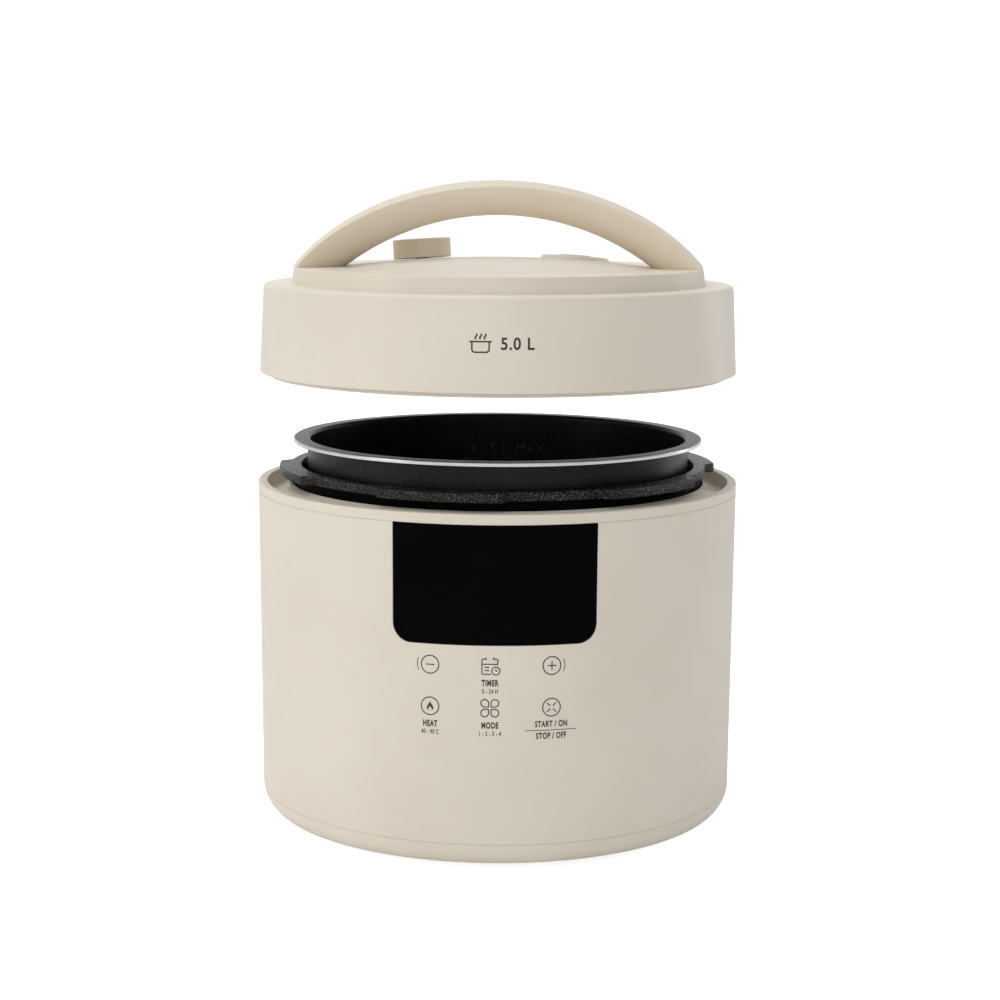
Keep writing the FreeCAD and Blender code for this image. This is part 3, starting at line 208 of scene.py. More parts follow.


# sprayed non-stick coating on aluminium: near black, orange-peel skin and small mica flakes, some painted
# lighter grey as glints;
# the flakes are drawn at 0.6 mm, coarser than real, so that they show
def nonStickCoating():
    m, surface, place = newMaterial("nonStickCoatingSprayed", {"IOR": 1.42, "Specular IOR Level": 0.3})
    flake = addNode(m, "ShaderNodeTexVoronoi", {"feature": "F1"}, {"Vector": place, "Scale": perGrain(0.6)})
    peel = addNode(m, "ShaderNodeTexNoise", None,
                   {"Vector": place, "Scale": perGrain(1.0), "Detail": 2.0}).outputs["Fac"]
    # painted glints: a few flakes are lighter grey in the colour
    paintedFlakeGlint = addNode(m, "ShaderNodeMath", {"operation": "POWER"}, {0: flake.outputs["Color"], 1: 2.5})
    return finishSurface(m, surface, (paintedFlakeGlint.outputs[0], 0.15, 1.0, "#070708", "#2f2f31"), (peel, 0.28, 0.4),
                         (peel, 0.3, 0.0001))


# turned or brushed metal: fine lines, drawn coarser than real so that they show
def workedMetal(name, tone, shade, gloss, stretch=(1, 1, 14), grain=0.5):
    m, surface, place = newMaterial(name, {"Metallic": 1.0})
    drawn = addNode(m, "ShaderNodeMapping", None, {"Vector": place, "Scale": stretch}).outputs["Vector"]
    lines = addNode(m, "ShaderNodeTexNoise", None,
                    {"Vector": drawn, "Scale": perGrain(grain * 8), "Detail": 4.0}).outputs["Fac"]
    return finishSurface(m, surface, (lines, 0.3, 0.7, shade, tone), (lines, *gloss), (lines, 0.12, 0.00004))


# moulded rubber, silicone, or plain engineering plastic: soft sheen with a slightly dusty, uneven skin
def mouldedSoft(name, tone, shade, gloss, through=0.0):
    m, surface, place = newMaterial(name, {"IOR": 1.45, "Transmission Weight": through})
    skin = addNode(m, "ShaderNodeTexNoise", None,
                   {"Vector": place, "Scale": perGrain(2.4), "Detail": 5.0}).outputs["Fac"]
    return finishSurface(m, surface, (skin, 0.3, 0.75, shade, tone), (skin, *gloss), (skin, 0.12, 0.0001))


# pad-printed ink: flat, a shade uneven, and soft grey-brown
def padPrint():
    m, surface, place = newMaterial("padPrintedInk", {"IOR": 1.45, "Specular IOR Level": 0.3})
    fleck = addNode(m, "ShaderNodeTexNoise", None,
                    {"Vector": place, "Scale": perGrain(0.6), "Detail": 2.0}).outputs["Fac"]
    return finishSurface(m, surface, (fleck, 0.3, 0.75, "#3d3831", "#4b453d"), (fleck, 0.5, 0.62))


# glass-fibre board under green lacquer, with the faint weave of the cloth
def circuitBoard():
    m, surface, place = newMaterial("glassFibreBoardLacquered", {"IOR": 1.5})
    weave = addNode(m, "ShaderNodeTexChecker", None, {"Vector": place, "Scale": perGrain(1.2)}).outputs["Fac"]
    return finishSurface(m, surface, (weave, 0.0, 1.0, "#174b2d", "#1c5a36"), (weave, 0.3, 0.36))


finishes = dict(
    cream=mouldedPolypropylene("polypropyleneCreamMoulded", "#e7dfd1", "#e2d9ca"),
    creamFine=mouldedPolypropylene("polypropyleneCreamFineGrain", "#e8e0d2", "#e3dacb", 0.34, 0.014,
                                   (0.36, 0.44)),
    # a warmer copy of the cream for the handle and knob: its warm tint is painted bounce light from the lid,
    # standing in for their shaded faces
    creamPaintedBounce=mouldedPolypropylene("polypropyleneCreamPaintedBounce", "#e8decd", "#e2d6c2"),
    lens=smokedAcrylic(),
    cast=castAluminiumBlackCoatPaintedGlints(),
    enamel=stovedEnamel(),
    coating=nonStickCoating(),
    turned=workedMetal("aluminiumTurnedEdge", "#e9eaec", "#c9cbce", (0.16, 0.24), (1, 1, 30)),
    steel=workedMetal("stainlessSteelBrushed", "#c9c8c4", "#b3b2ae", (0.24, 0.36), (1, 12, 1)),
    aluminium=workedMetal("aluminiumCastMachined", "#c6c7c9", "#a9abad", (0.3, 0.45), (3, 3, 3)),
    zinc=workedMetal("steelZincPlated", "#bfc2c4", "#9fa3a6", (0.3, 0.42), (6, 6, 6)),
    brass=workedMetal("brassNickelPlated", "#cfc4a2", "#b7aa84", (0.22, 0.32), (5, 5, 5)),
    rubber=mouldedSoft("rubberMoulded", "#5b554c", "#4a453e", (0.62, 0.78)),
    silicone=mouldedSoft("siliconeMoulded", "#dedbd2", "#cfccc3", (0.4, 0.5), 0.15),
    black=mouldedSoft("polyamideBlackMoulded", "#1d1d1e", "#141415", (0.42, 0.55)),
    clear=mouldedSoft("polycarbonateSmokeMoulded", "#c9c6bf", "#bdbab3", (0.1, 0.16), 0.75),
    wire=mouldedSoft("siliconeWireCover", "#8c2b22", "#76231c", (0.45, 0.6)),
    board=circuitBoard(),
    ink=padPrint(),
    coatingMark=mouldedSoft("nonStickCoatingPressed", "#39393b", "#2c2c2e", (0.3, 0.45)),
)
print("materials made:", len(finishes))


# The outline through (r, z, corner radius) points: each corner is points at equal angles on an arc, and
# one more point beside each end of the arc keeps the flat next to it flat.
def roundedOutline(corners, closed=True, steps=6, sharp=0.0):
    places = np.array([c[:2] for c in corners], float)
    radii = [c[2] if len(c) > 2 else sharp for c in corners]
    pieces = []
    for i, (p, radius) in enumerate(zip(places, radii)):
        if radius == 0 or (not closed and i in (0, len(corners) - 1)):
            pieces.append(p[None])
            continue
        back, ahead = places[i - 1] - p, places[(i + 1) % len(places)] - p
        lengths = np.linalg.norm(back), np.linalg.norm(ahead)
        back, ahead = back / lengths[0], ahead / lengths[1]
        half = math.acos(float(np.clip(back @ ahead, -1, 1))) / 2
        reach = radius / math.tan(half)
        middle = p + (back + ahead) / np.linalg.norm(back + ahead) * radius / math.sin(half)
        start, stop = p + back * reach - middle, p + ahead * reach - middle
        turn = math.pi - 2 * half
        t = np.linspace(0, 1, steps + 1)[:, None]
        arc = middle + (start * np.sin((1 - t) * turn) + stop * np.sin(t * turn)) / math.sin(turn)
        spare = [min(0.6 * radius, 0.2 * max(0.0, length - reach)) for length in lengths]
        pieces.append(np.vstack([arc[:1] + back * spare[0], arc, arc[-1:] + ahead * spare[1]]))
    outline = np.vstack(pieces)
    return np.vstack([outline, outline[:1]]) if closed else outline


# places at a radius, an azimuth in radians and a height
def aboutAxis(radius, angle, z):
    return np.stack(np.broadcast_arrays(radius * np.sin(angle), -radius * np.cos(angle), z), axis=-1)


# An outline of (r, z) points turned about Z: x = r sin(azimuth), y = -r cos(azimuth). r and z may also
# be grids that change with azimuth.
def turned(outline, azimuths):
    outline = np.asarray(outline, float)
    r, z = (outline[..., 0], outline[..., 1])
    if outline.ndim == 2:
        r, z = r[:, None], z[:, None]
    a = np.radians(azimuths)[None, :]
    return aboutAxis(r, a, z)


# columns right round, one a degree, set so that slots a whole number of degrees apart fall between two
fullTurn = np.linspace(-180.5, 179.5, 361)


# the four corners of each face of a grid, as numbers of points counted row by row
def gridFaces(rows, columns):
    index = np.arange(rows * columns).reshape(rows, columns)
    return np.stack([index[:-1, :-1], index[1:, :-1], index[1:, 1:], index[:-1, 1:]], axis=-1)


# Joins grids of points into one mesh: neighbours become four-sided faces, points that coincide become
# one, faces are turned outwards on each closed skin, and edges past an angle stay crisp. A grid may come
# with a mask of the faces to leave out.
def makePiece(name, grids, body, finish, stands=(), crisp=38):
    points, faces, start = [], [], 0
    for grid in grids:
        grid, keep = grid if isinstance(grid, tuple) else (grid, None)
        rows, columns = grid.shape[:2]
        cells = start + gridFaces(rows, columns)
        faces.append(cells.reshape(-1, 4) if keep is None else cells[keep])
        points.append(grid.reshape(-1, 3))
        start += rows * columns
    mesh = bpy.data.meshes.new(name)
    mesh.from_pydata((np.vstack(points) / 1000).tolist(), [], np.vstack(faces).tolist())
    return dress(name, mesh, body, finish, stands, crisp)


def dress(name, mesh, body, finish, stands=(), crisp=38):
    work = bmesh.new()
    work.from_mesh(mesh)
    bmesh.ops.remove_doubles(work, verts=work.verts, dist=3e-6)
    bmesh.ops.recalc_face_normals(work, faces=work.faces)
    if work.calc_volume(signed=True) < 0:
        bmesh.ops.reverse_faces(work, faces=work.faces)
    work.to_mesh(mesh)
    work.free()
    mesh.shade_smooth()
    mesh.set_sharp_from_angle(angle=math.radians(crisp))
    mesh.materials.append(finishes[finish])
    piece = bpy.data.objects.new(name, mesh)
    bpy.context.scene.collection.objects.link(piece)
    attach(piece, body)
    if stands:
        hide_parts(*stands)
    return piece


# body shell and display lens
shellBox, trayBox, lensBox = nodeBox("outer_shell"), nodeBox("base_tray"), nodeBox("display_lens")
ringBox = nodeBox("top_ring")
shell = dict(low=shellBox[0][2], high=shellBox[1][2], radiusHigh=shellBox[1][0], radiusLow=trayBox[1][0],
             wall=3.0, edgeRound=0.5, front=36.0, lensGap=0.15, pocket=2.0, pocketRound=0.35,
             lensCorner=10.5, lensAzimuth=-0.35, lensRound=0.35, lensThickness=1.8,
             inlet=(0, 36, 14.3, 10.3, 3), spout=(0, 170, 3.5, 3.5, 3.5),
             prong=(18, 151.5, 6.4, 1.9, 0.4))


# radius of the tapering wall: it grows evenly from the tray to the ring
def wallRadius(z):
    share = (z - shell["low"]) / (shell["high"] - shell["low"])
    return shell["radiusLow"] + (shell["radiusHigh"] - shell["radiusLow"]) * share


# a place on the wall from its distance round the wall, its height and its depth below the surface
def onWall(along, z, depth=0):
    angle = along / shell["radiusHigh"] + math.radians(shell["lensAzimuth"])
    radius = wallRadius(z) - depth
    return aboutAxis(radius, angle, z)


lensHalf = shell["radiusHigh"] * math.asin((lensBox[1][0] - lensBox[0][0]) / 2 / shell["radiusHigh"])
lensLow, lensHigh = lensBox[0][2], lensBox[1][2]
lensSteps = dict(side=24, corner=16, bottom=90)


# The U of the lens from its top left corner down and round to its top right: places on it, and the
# direction out of it, so that place + distance * direction is the U grown by that distance.
def lensEdge(top, side, corner, bottom):
    radius, bend = shell["lensCorner"], np.linspace(0, math.pi / 2, corner + 1)
    innerX, innerZ = lensHalf - radius, lensLow + radius
    ones, flat = np.ones(side), np.linspace(-innerX, innerX, bottom + 1)[1:-1]
    x = np.concatenate([-lensHalf * ones, -innerX - radius * np.cos(bend), flat,
                        innerX + radius * np.sin(bend), lensHalf * ones])
    z = np.concatenate([np.linspace(top, innerZ, side + 1)[:-1], innerZ - radius * np.sin(bend),
                        0 * flat + lensLow, innerZ - radius * np.cos(bend),
                        np.linspace(innerZ, top, side + 1)[1:]])
    outX = np.concatenate([-ones, -np.cos(bend), 0 * flat, np.sin(bend), ones])
    outZ = np.concatenate([0 * ones, -np.sin(bend), 0 * flat - 1, -np.cos(bend), 0 * ones])
    return x, z, outX, outZ


# The edge of a block of cells in a grid, as row and column numbers, once round and closed.
def blockEdge(rows, columns):
    (top, bottom), (left, right) = rows, columns
    down, over = np.arange(top, bottom), np.arange(left, right)
    i = np.concatenate([down, 0 * over + bottom, down[::-1] + 1, 0 * over + top, [top]])
    j = np.concatenate([0 * down + left, over, 0 * down + right, over[::-1] + 1, [left]])
    return i, j


# A hole in a wall: the cells nearest to it are left out of a grid, and a strip joins their edge to the
# hole's outline, a rounded rectangle that the edge's points are drawn in to.
def holeThrough(u, z, hole, keep):
    middle, height, halfU, halfZ, corner = hole
    columns = np.searchsorted(u, middle - halfU - 1) - 1, np.searchsorted(u, middle + halfU + 1)
    rows = np.searchsorted(-z, -height - halfZ - 1) - 1, np.searchsorted(-z, -height + halfZ + 1)
    i, j = blockEdge(rows, columns)
    keep[rows[0]:rows[1], columns[0]:columns[1]] = False
    across = (2 * (j - columns[0]) / (columns[1] - columns[0]) - 1) * halfU
    rise = (1 - 2 * (i - rows[0]) / (rows[1] - rows[0])) * halfZ
    coreX = np.clip(across, corner - halfU, halfU - corner)
    coreZ = np.clip(rise, corner - halfZ, halfZ - corner)
    awayX, awayZ = across - coreX, rise - coreZ
    length = np.maximum(np.hypot(awayX, awayZ), 1e-9)
    scale = np.where(np.hypot(awayX, awayZ) > 1e-9, corner / length, 0)
    return i, j, middle + coreX + awayX * scale, height + coreZ + awayZ * scale


# The shell in its unrolled form: the front is a U of rows that run from the pocket's floor over its
# rounded lip to a plain rectangle, the rest is a plain grid, both fold over the top and bottom edges to
# the inner wall, and the holes at the back go right through.
def buildShell(s):
    top, foot, bend = s["high"] - s["edgeRound"], s["low"] + s["edgeRound"], np.linspace(0, math.pi / 2, 6)
    x, z, outX, outZ = lensEdge(top, **lensSteps)
    curl = s["pocketRound"]
    out = np.concatenate([[0, 0], curl * (1 - np.cos(bend)), [curl * 2]]) + s["lensGap"]
    deep = np.concatenate([[s["pocket"], curl * 2], curl * (1 - np.sin(bend)), [0]])
    lipX, lipZ = x + out[:, None] * outX, z + out[:, None] * outZ
    upright = lensSteps["side"] + lensSteps["corner"] // 2
    across = len(x) - 1 - 2 * upright
    edge = math.radians(s["front"]) * s["radiusHigh"]
    level, ones = np.linspace(-edge, edge, across + 1), np.ones(upright)
    rows = np.linspace(top, foot, upright + 1)
    frameX = np.concatenate([-edge * ones, level, edge * ones])
    frameZ = np.concatenate([rows[:-1], 0 * level + foot, rows[-2::-1]])
    blend = np.linspace(0, 1, 25)[1:, None]
    frontX = np.vstack([lipX, lipX[-1] * (1 - blend) + frameX * blend])
    frontZ = np.vstack([lipZ, lipZ[-1] * (1 - blend) + frameZ * blend])
    frontDeep = np.concatenate([deep, 0 * blend[:, 0]])
    # pocket floor: the U shrinks towards the middle of its top edge
    count = (across + 1 - 2 * len(frontX) + 1) // 2 + 1
    shrink = 1 - np.linspace(0, 1, count)[:, None]
    floorX, floorZ = lipX[0] * shrink, top - (top - lipZ[0]) * shrink
    # the top edge from one side of the front to the other, and how it folds over
    topX = np.concatenate([frontX[::-1, 0], floorX[1:, 0], floorX[-2::-1, -1], frontX[1:, -1]])
    topDeep = np.concatenate([frontDeep[::-1], 0 * floorX[1:, 0] + s["pocket"],
                              0 * floorX[-2::-1, 0] + s["pocket"], frontDeep[1:]])
    overUp = np.concatenate([s["edgeRound"] * np.sin(bend), [s["edgeRound"]]])[:, None]
    overDeep = np.concatenate([s["edgeRound"] * (1 - np.cos(bend)), [s["wall"]]])[:, None]
    fold = onWall(topX[None, :], top + overUp, np.maximum(topDeep, overDeep))
    hem = onWall(np.linspace(-edge, edge, len(topX))[None, :], foot - overUp, overDeep)
    # sides and back
    around = np.linspace(edge, 2 * math.pi * s["radiusHigh"] - edge, 201)
    backZ = np.concatenate([(top + overUp[:0:-1, 0]), rows, foot - overUp[1:, 0]])
    backDeep = np.concatenate([overDeep[:0:-1, 0], 0 * rows, overDeep[1:, 0]])
    keep = np.ones((len(backZ) - 1, len(around) - 1), bool)
    half = (math.pi - math.radians(s["lensAzimuth"])) * s["radiusHigh"]
    strips = []
    for middle, height, *size in (s["inlet"], s["spout"], s["prong"], (-s["prong"][0], *s["prong"][1:])):
        i, j, holeU, holeZ = holeThrough(around, backZ, (half + middle, height, *size), keep)
        strips += [onWall(np.stack([around[j], holeU]), np.stack([backZ[i], holeZ])),
                   onWall(holeU[None, :], np.stack([holeZ, holeZ]), np.array([[0], [s["wall"]]])),
                   onWall(np.stack([around[j], holeU]), np.stack([backZ[i], holeZ]), s["wall"])]
    back = onWall(around[None, :], backZ[:, None], backDeep[:, None])
    inZ = np.clip(backZ, s["low"], s["high"])[:, None]
    inBack = onWall(around[None, :], inZ, s["wall"])
    lowX, sink = np.linspace(-edge, edge, len(topX)), (s["high"] - inZ) / (s["high"] - s["low"])
    inFront = onWall(topX * (1 - sink) + lowX * sink, inZ, s["wall"])
    grids = [onWall(frontX, frontZ, frontDeep[:, None]), onWall(floorX, floorZ, s["pocket"]), fold, hem,
             inFront, (back, keep), (inBack, keep)] + strips
    makePiece("bodyShell", grids, "base", "cream", ["outer_shell"])


# The lens: a sheet as wide as the U at each height, rounded near its edge by a quarter circle in the
# distance to the nearest edge, with straight sides and a flat back.
def buildLens(s):
    near = np.array([0, 0.08, 0.2, 0.4, 0.7, 1.0]) * s["lensRound"] * 1.4
    span = lensHigh - lensLow
    down = np.concatenate([near, np.linspace(near[-1], span - near[-1], 40)[1:-1], (span - near)[::-1]])
    width = 2 * lensHalf
    across = np.concatenate([near, np.linspace(near[-1], width - near[-1], 60)[1:-1],
                             (width - near)[::-1]]) - lensHalf
    corner = s["lensCorner"]
    z = lensHigh - down[:, None] + 0 * across
    drop = np.clip(lensLow + corner - z, 0, corner)
    x = across / lensHalf * (lensHalf - corner + np.sqrt(corner ** 2 - drop ** 2))
    coreX, coreZ = lensHalf - corner, lensLow + corner
    curved = corner - np.hypot(np.abs(x) - coreX, z - coreZ)
    straight = np.minimum(np.minimum(lensHalf - np.abs(x), z - lensLow), lensHigh - z)
    inside = np.clip(np.where((np.abs(x) > coreX) & (z < coreZ), curved, straight), 0, s["lensRound"])
    face = onWall(x, z, s["lensRound"] - np.sqrt(s["lensRound"] ** 2 - (s["lensRound"] - inside) ** 2))
    back = onWall(x, z, s["lensThickness"])
    sides = [np.stack([face[k], back[k]]) for k in (0, -1)]
    sides += [np.stack([face[:, k], back[:, k]]) for k in (0, -1)]
    makePiece("displayLens", [face, back] + sides, "base", "lens", ["display_lens"])


buildShell(shell)
buildLens(shell)
print("shell and lens built")


# tray with its vent slots and feet
tray = dict(low=5.0, curve=15.0, floor=2.6, lap=6.0, spigot=3.3, slots=24, slotWidth=3.2, slotFrom=36.0,
            slotTo=64.0, topRound=0.5, footAzimuths=(-130, -50, 50, 130), footSpan=24.0, footIn=112.0,
            footOut=126.0, footLow=1.4, hub=80.0)


# Tray: its outside is a circle's arc that meets the wall, turned about Z; in its floor the columns are
# pulled apart so that one cell in each pitch becomes a slot of even width.
def buildTray(s):
    outside, pitch = shell["radiusLow"], 360 / s["slots"]
    centre, seam = outside - s["curve"], shell["low"]
    lowTurn = math.asin((seam - s["low"]) / s["curve"])
    bend = np.linspace(0, lowTurn, 14)
    arc = np.stack([centre + s["curve"] * np.cos(bend), seam - s["curve"] * np.sin(bend)], axis=1)
    tuck, floor = outside - s["spigot"], s["low"] + s["floor"]
    inner = roundedOutline([(outside - s["topRound"], seam), (tuck, seam, 0.2), (tuck, seam + s["lap"], 0.6),
                            (tuck - s["floor"], seam + s["lap"], 0.6), (tuck - s["floor"], floor, 4),
                            (s["hub"], floor)], closed=False)
    curl = s["topRound"] * np.array([[-1, 0], [-0.5, -0.13], [-0.13, -0.5]])
    arc[0, 1] -= s["topRound"]
    under = np.array([(arc[-1, 0] - 1, s["low"]), (100, s["low"]), (s["hub"], s["low"])])
    rim = np.vstack([inner[::-1], curl[1:] + (outside, seam), arc, under])
    radii = np.array([0, 12, 24, 30, s["slotFrom"], 43, 50, 57, s["slotTo"], 72, s["hub"]])
    half = np.degrees(np.arcsin(s["slotWidth"] / 2 / np.clip(radii, s["slotFrom"], s["slotTo"])))
    spread = np.interp(radii, [24, s["slotFrom"], s["slotTo"], s["hub"]], [0, 1, 1, 0])
    slotHalf = 0.5 + (half - 0.5) * spread
    offset = (fullTurn + pitch / 2) % pitch - pitch / 2
    side = np.sign(offset)
    moved = side * np.interp(np.abs(offset), [0.5, pitch / 2], [0, 1])
    azimuth = (fullTurn - offset + side * slotHalf[:, None]
               + moved * (pitch / 2 - slotHalf[:, None]))
    angle = np.radians(azimuth)
    under, above = aboutAxis(radii[:, None], angle, s["low"]), aboutAxis(radii[:, None], angle, floor)
    first, last = np.where(radii == s["slotFrom"])[0][0], np.where(radii == s["slotTo"])[0][0]
    keep = np.ones((len(radii) - 1, len(fullTurn) - 1), bool)
    slotCells = np.where(np.abs(offset[:-1] + 0.5) < 0.01)[0]
    keep[first:last, slotCells] = False
    edges = [blockEdge((first, last), (c, c + 1)) for c in slotCells]
    walls = [np.stack([under[i, j], above[i, j]]) for i, j in edges]
    feet = [footBlock(a, s) for a in s["footAzimuths"]]
    grids = [turned(rim, fullTurn), (under, keep), (above, keep)] + walls + feet
    makePiece("baseTray", grids, "base", "cream", ["base_tray"])


# Foot: a rounded rectangle bent round the axis, x along the arc and y along the radius, with a rounded
# lower edge, closed top and bottom by shrinking it to its middle.
def footBlock(azimuth, s):
    middle, deep = (s["footIn"] + s["footOut"]) / 2, (s["footOut"] - s["footIn"]) / 2
    long = math.radians(s["footSpan"]) * middle / 2
    turn, power = np.linspace(0, 2 * math.pi, 65), 0.28  # a superellipse, so its corners are round
    x = long * np.sign(np.cos(turn)) * np.abs(np.cos(turn)) ** power
    y = deep * np.sign(np.sin(turn)) * np.abs(np.sin(turn)) ** power
    size = np.array([0, 0.5, 0.955, 0.985, 1, 1, 0.5, 0])[:, None]
    z = np.array([0, 0, 0, 0.12, 0.4, 4, 4, 4])[:, None] + s["footLow"]
    angle = math.radians(azimuth) + size * x / middle
    radius = middle + size * y
    return aboutAxis(radius, angle, z)


buildTray(tray)


# top ring
ring = dict(lip=5.5, coneOuterDrop=5.0, coneInnerDrop=1.2, channelDrop=8.5, wall=2.2, bore=122.5,
            channelFrom=75.0, round=0.8, drain=2.2, lap=6.0, spigot=3.3, seamRound=0.6, channelRound=1.1,
            drainPatch=4.2)


# Top ring: one outline of (r, z) for the sloping front and one with as many points for the drip channel
# behind, each turned through its own part of the circle, with a plain step where they meet.
def buildTopRing(s):
    outside, top, seam = shell["radiusHigh"], ringBox[1][2], shell["high"]
    lip, spigot, bore, wall = outside - s["lip"], outside - s["spigot"], s["bore"], s["wall"]
    low, high, floor = top - s["coneOuterDrop"], top - s["coneInnerDrop"], top - s["channelDrop"]
    rise = low + (high - low) * (lip - bore - wall) / (lip - bore)
    rim = [(outside, seam, s["seamRound"]), (outside, top, s["round"]), (lip, top, s["round"])]
    foot = [(spigot - wall, seam - s["lap"]), (spigot, seam - s["lap"]), (spigot, seam)]
    front = rim + [(lip, low, 0.4), (bore + wall, rise, 0.05), (bore + wall * 0.6, rise + 0.2, 0.05),
                   (bore, high, 0.3), (bore, high - wall), (spigot - wall, low - wall)] + foot
    back = rim + [(lip, floor, s["channelRound"]), (bore + wall, floor, s["channelRound"]),
                  (bore + wall, high, 0.3),
                  (bore, high, 0.3), (bore, floor - wall), (spigot - wall, floor - wall)] + foot
    front, back = roundedOutline(front), roundedOutline(back)
    azimuths = np.linspace(-s["channelFrom"], s["channelFrom"], 181)
    behind = np.linspace(s["channelFrom"], 360 - s["channelFrom"], 253)
    middle = (lip + bore + wall) / 2
    # the drain is let into the flat of the channel's floor, straight behind
    flat = np.where((np.abs(back[:, 1] - floor) < 1e-6) & (back[:, 0] > bore + wall + 0.5))[0]
    cut = flat[np.argmax(back[flat, 0] < middle)]
    beneath = np.where(np.abs(back[:, 1] - (floor - wall)) < 1e-6)[0]
    split = middle + np.array([s["drainPatch"], -s["drainPatch"]])
    back = np.insert(back, [cut, cut], [(r, floor) for r in split], axis=0)
    front = np.insert(front, [cut, cut], [front[cut]] * 2, axis=0)
    lower = beneath[-1] + 2
    back = np.insert(back, [lower, lower], [(r, floor - wall) for r in split[::-1]], axis=0)
    front = np.insert(front, [lower, lower], [front[lower]] * 2, axis=0)
    rear = turned(back, behind)
    keep = np.ones((len(back) - 1, len(behind) - 1), bool)
    columns = len(behind) // 2 - 3, len(behind) // 2 + 3
    loops = []
    for row in (cut, lower):
        i, j = blockEdge((row, row + 1), columns)
        keep[row:row + 1, columns[0]:columns[1]] = False
        edge = rear[i, j]
        away = edge[:, :2] - (0, middle)
        circle = away / np.linalg.norm(away, axis=1)[:, None] * s["drain"] + (0, middle)
        loops.append((edge, np.column_stack([circle, edge[:, 2]])))
    (upEdge, upLoop), (downEdge, downLoop) = loops
    steps = [np.stack([turned(front, [a])[:, 0], turned(back, [a])[:, 0]])
             for a in (-s["channelFrom"], s["channelFrom"])]
    grids = [turned(front, azimuths), (rear, keep), np.stack([upEdge, upLoop]),
             np.stack([downEdge, downLoop]), np.stack([upLoop, upLoop - (0, 0, wall)])] + steps
    makePiece("topRing", grids, "base", "cream", ["top_ring"])


buildTopRing(ring)
print("tray and top ring built")


# drum, bayonet and pot
potBox, bayonetBox, drumBox = nodeBox("inner_pot"), nodeBox("bayonet_flange"), nodeBox("outer_drum")
drum = dict(wall=1.2, corner=8.0, hole=30.0)
bayonet = dict(bore=117.0, recess=124.0, count=6, first=-15.0, span=30.0, slant=3.5, round=0.9, blend=0.9)
pot = dict(wall=1.8, corner=18.0, rim=8.2, rimThickness=2.5, cove=2.2, band=0.25, bandGrip=1.5)


# Drum: a straight wall with a rounded lower corner and an open middle, turned about Z.
def buildDrum(s):
    outside, low, high = drumBox[1][0], drumBox[0][2], drumBox[1][2]
    inside = outside - s["wall"]
    outline = roundedOutline([
        (s["hole"], low), (outside, low, s["corner"]), (outside, high, 0.3), (inside, high, 0.3),
        (inside, low + s["wall"], s["corner"] - s["wall"]), (s["hole"], low + s["wall"])])
    makePiece("outerDrum", [turned(outline, fullTurn)], "base", "enamel", ["outer_drum"])


# Bayonet: how far out it reaches goes from the recess to the lug over a slanted end, eased by a cosine,
# and the outline of its section stretches between the bore and that reach. Low waves of three lengths
# push its skin out and in, as on a rough casting.
def buildBayonet(s):
    low, high, lug = bayonetBox[0][2], bayonetBox[1][2], bayonetBox[1][0]
    azimuths = np.linspace(-180.5, 179.5, 1081)
    pitch = 360 / s["count"]
    offset = np.abs((azimuths - s["first"] + pitch / 2) % pitch - pitch / 2)
    share = np.clip((s["span"] / 2 + s["slant"] - offset) / s["slant"], 0, 1)
    share = share + (0.5 - 0.5 * np.cos(math.pi * share) - share) * s["blend"]
    reach = s["recess"] + (lug - s["recess"]) * share - 0.12
    height = high - low
    curl, bend = s["round"], np.linspace(0, math.pi / 2, 6)
    side = np.linspace(curl, height - curl, 7)[1:-1]
    # distance in from the reach, or out from the bore, and height, once round the section
    outer = np.vstack([np.stack([curl - curl * np.sin(bend), curl - curl * np.cos(bend)], axis=1),
                       np.stack([0 * side, side], axis=1),
                       np.stack([curl - curl * np.cos(bend), height - curl + curl * np.sin(bend)], axis=1)])
    step = np.linspace(0, 1, 6)[1:-1][:, None]
    radius = [reach - outer[:, :1]]
    z = [outer[:, 1:]]
    topFrom, topTo = radius[0][-1:], s["bore"] + curl
    radius += [topFrom + (topTo - topFrom) * step, s["bore"] + outer[::-1, :1] + 0 * reach]
    z += [height + 0 * step, outer[::-1, 1:]]
    lowFrom, lowTo = s["bore"] + curl, reach - curl
    radius += [lowFrom + (lowTo - lowFrom) * step, radius[0][:1]]
    z += [0 * step, z[0][:1]]
    radius, z = np.vstack(radius), low + np.vstack(z) + 0 * reach
    angle = np.radians(azimuths)
    points = aboutAxis(radius, angle, z)
    x, y, h = (points[..., k] for k in range(3))
    rough = sum(np.sin(x * f + 1.3 * h) * np.sin(y * f * 1.07 + 2.1 + h * f) * a
                for f, a in ((0.9, 0.05), (2.1, 0.04), (3.7, 0.03)))
    away = points - aboutAxis((s["bore"] + reach) / 2, angle, (low + high) / 2)
    points = points + away / np.linalg.norm(away, axis=-1, keepdims=True) * rough[..., None]
    points[..., 2] = np.clip(points[..., 2], low, high)
    points[:, -1] = points[:, 0]
    makePiece("bayonetFlange", [points], "base", "cast", ["bayonet_flange"], crisp=60)


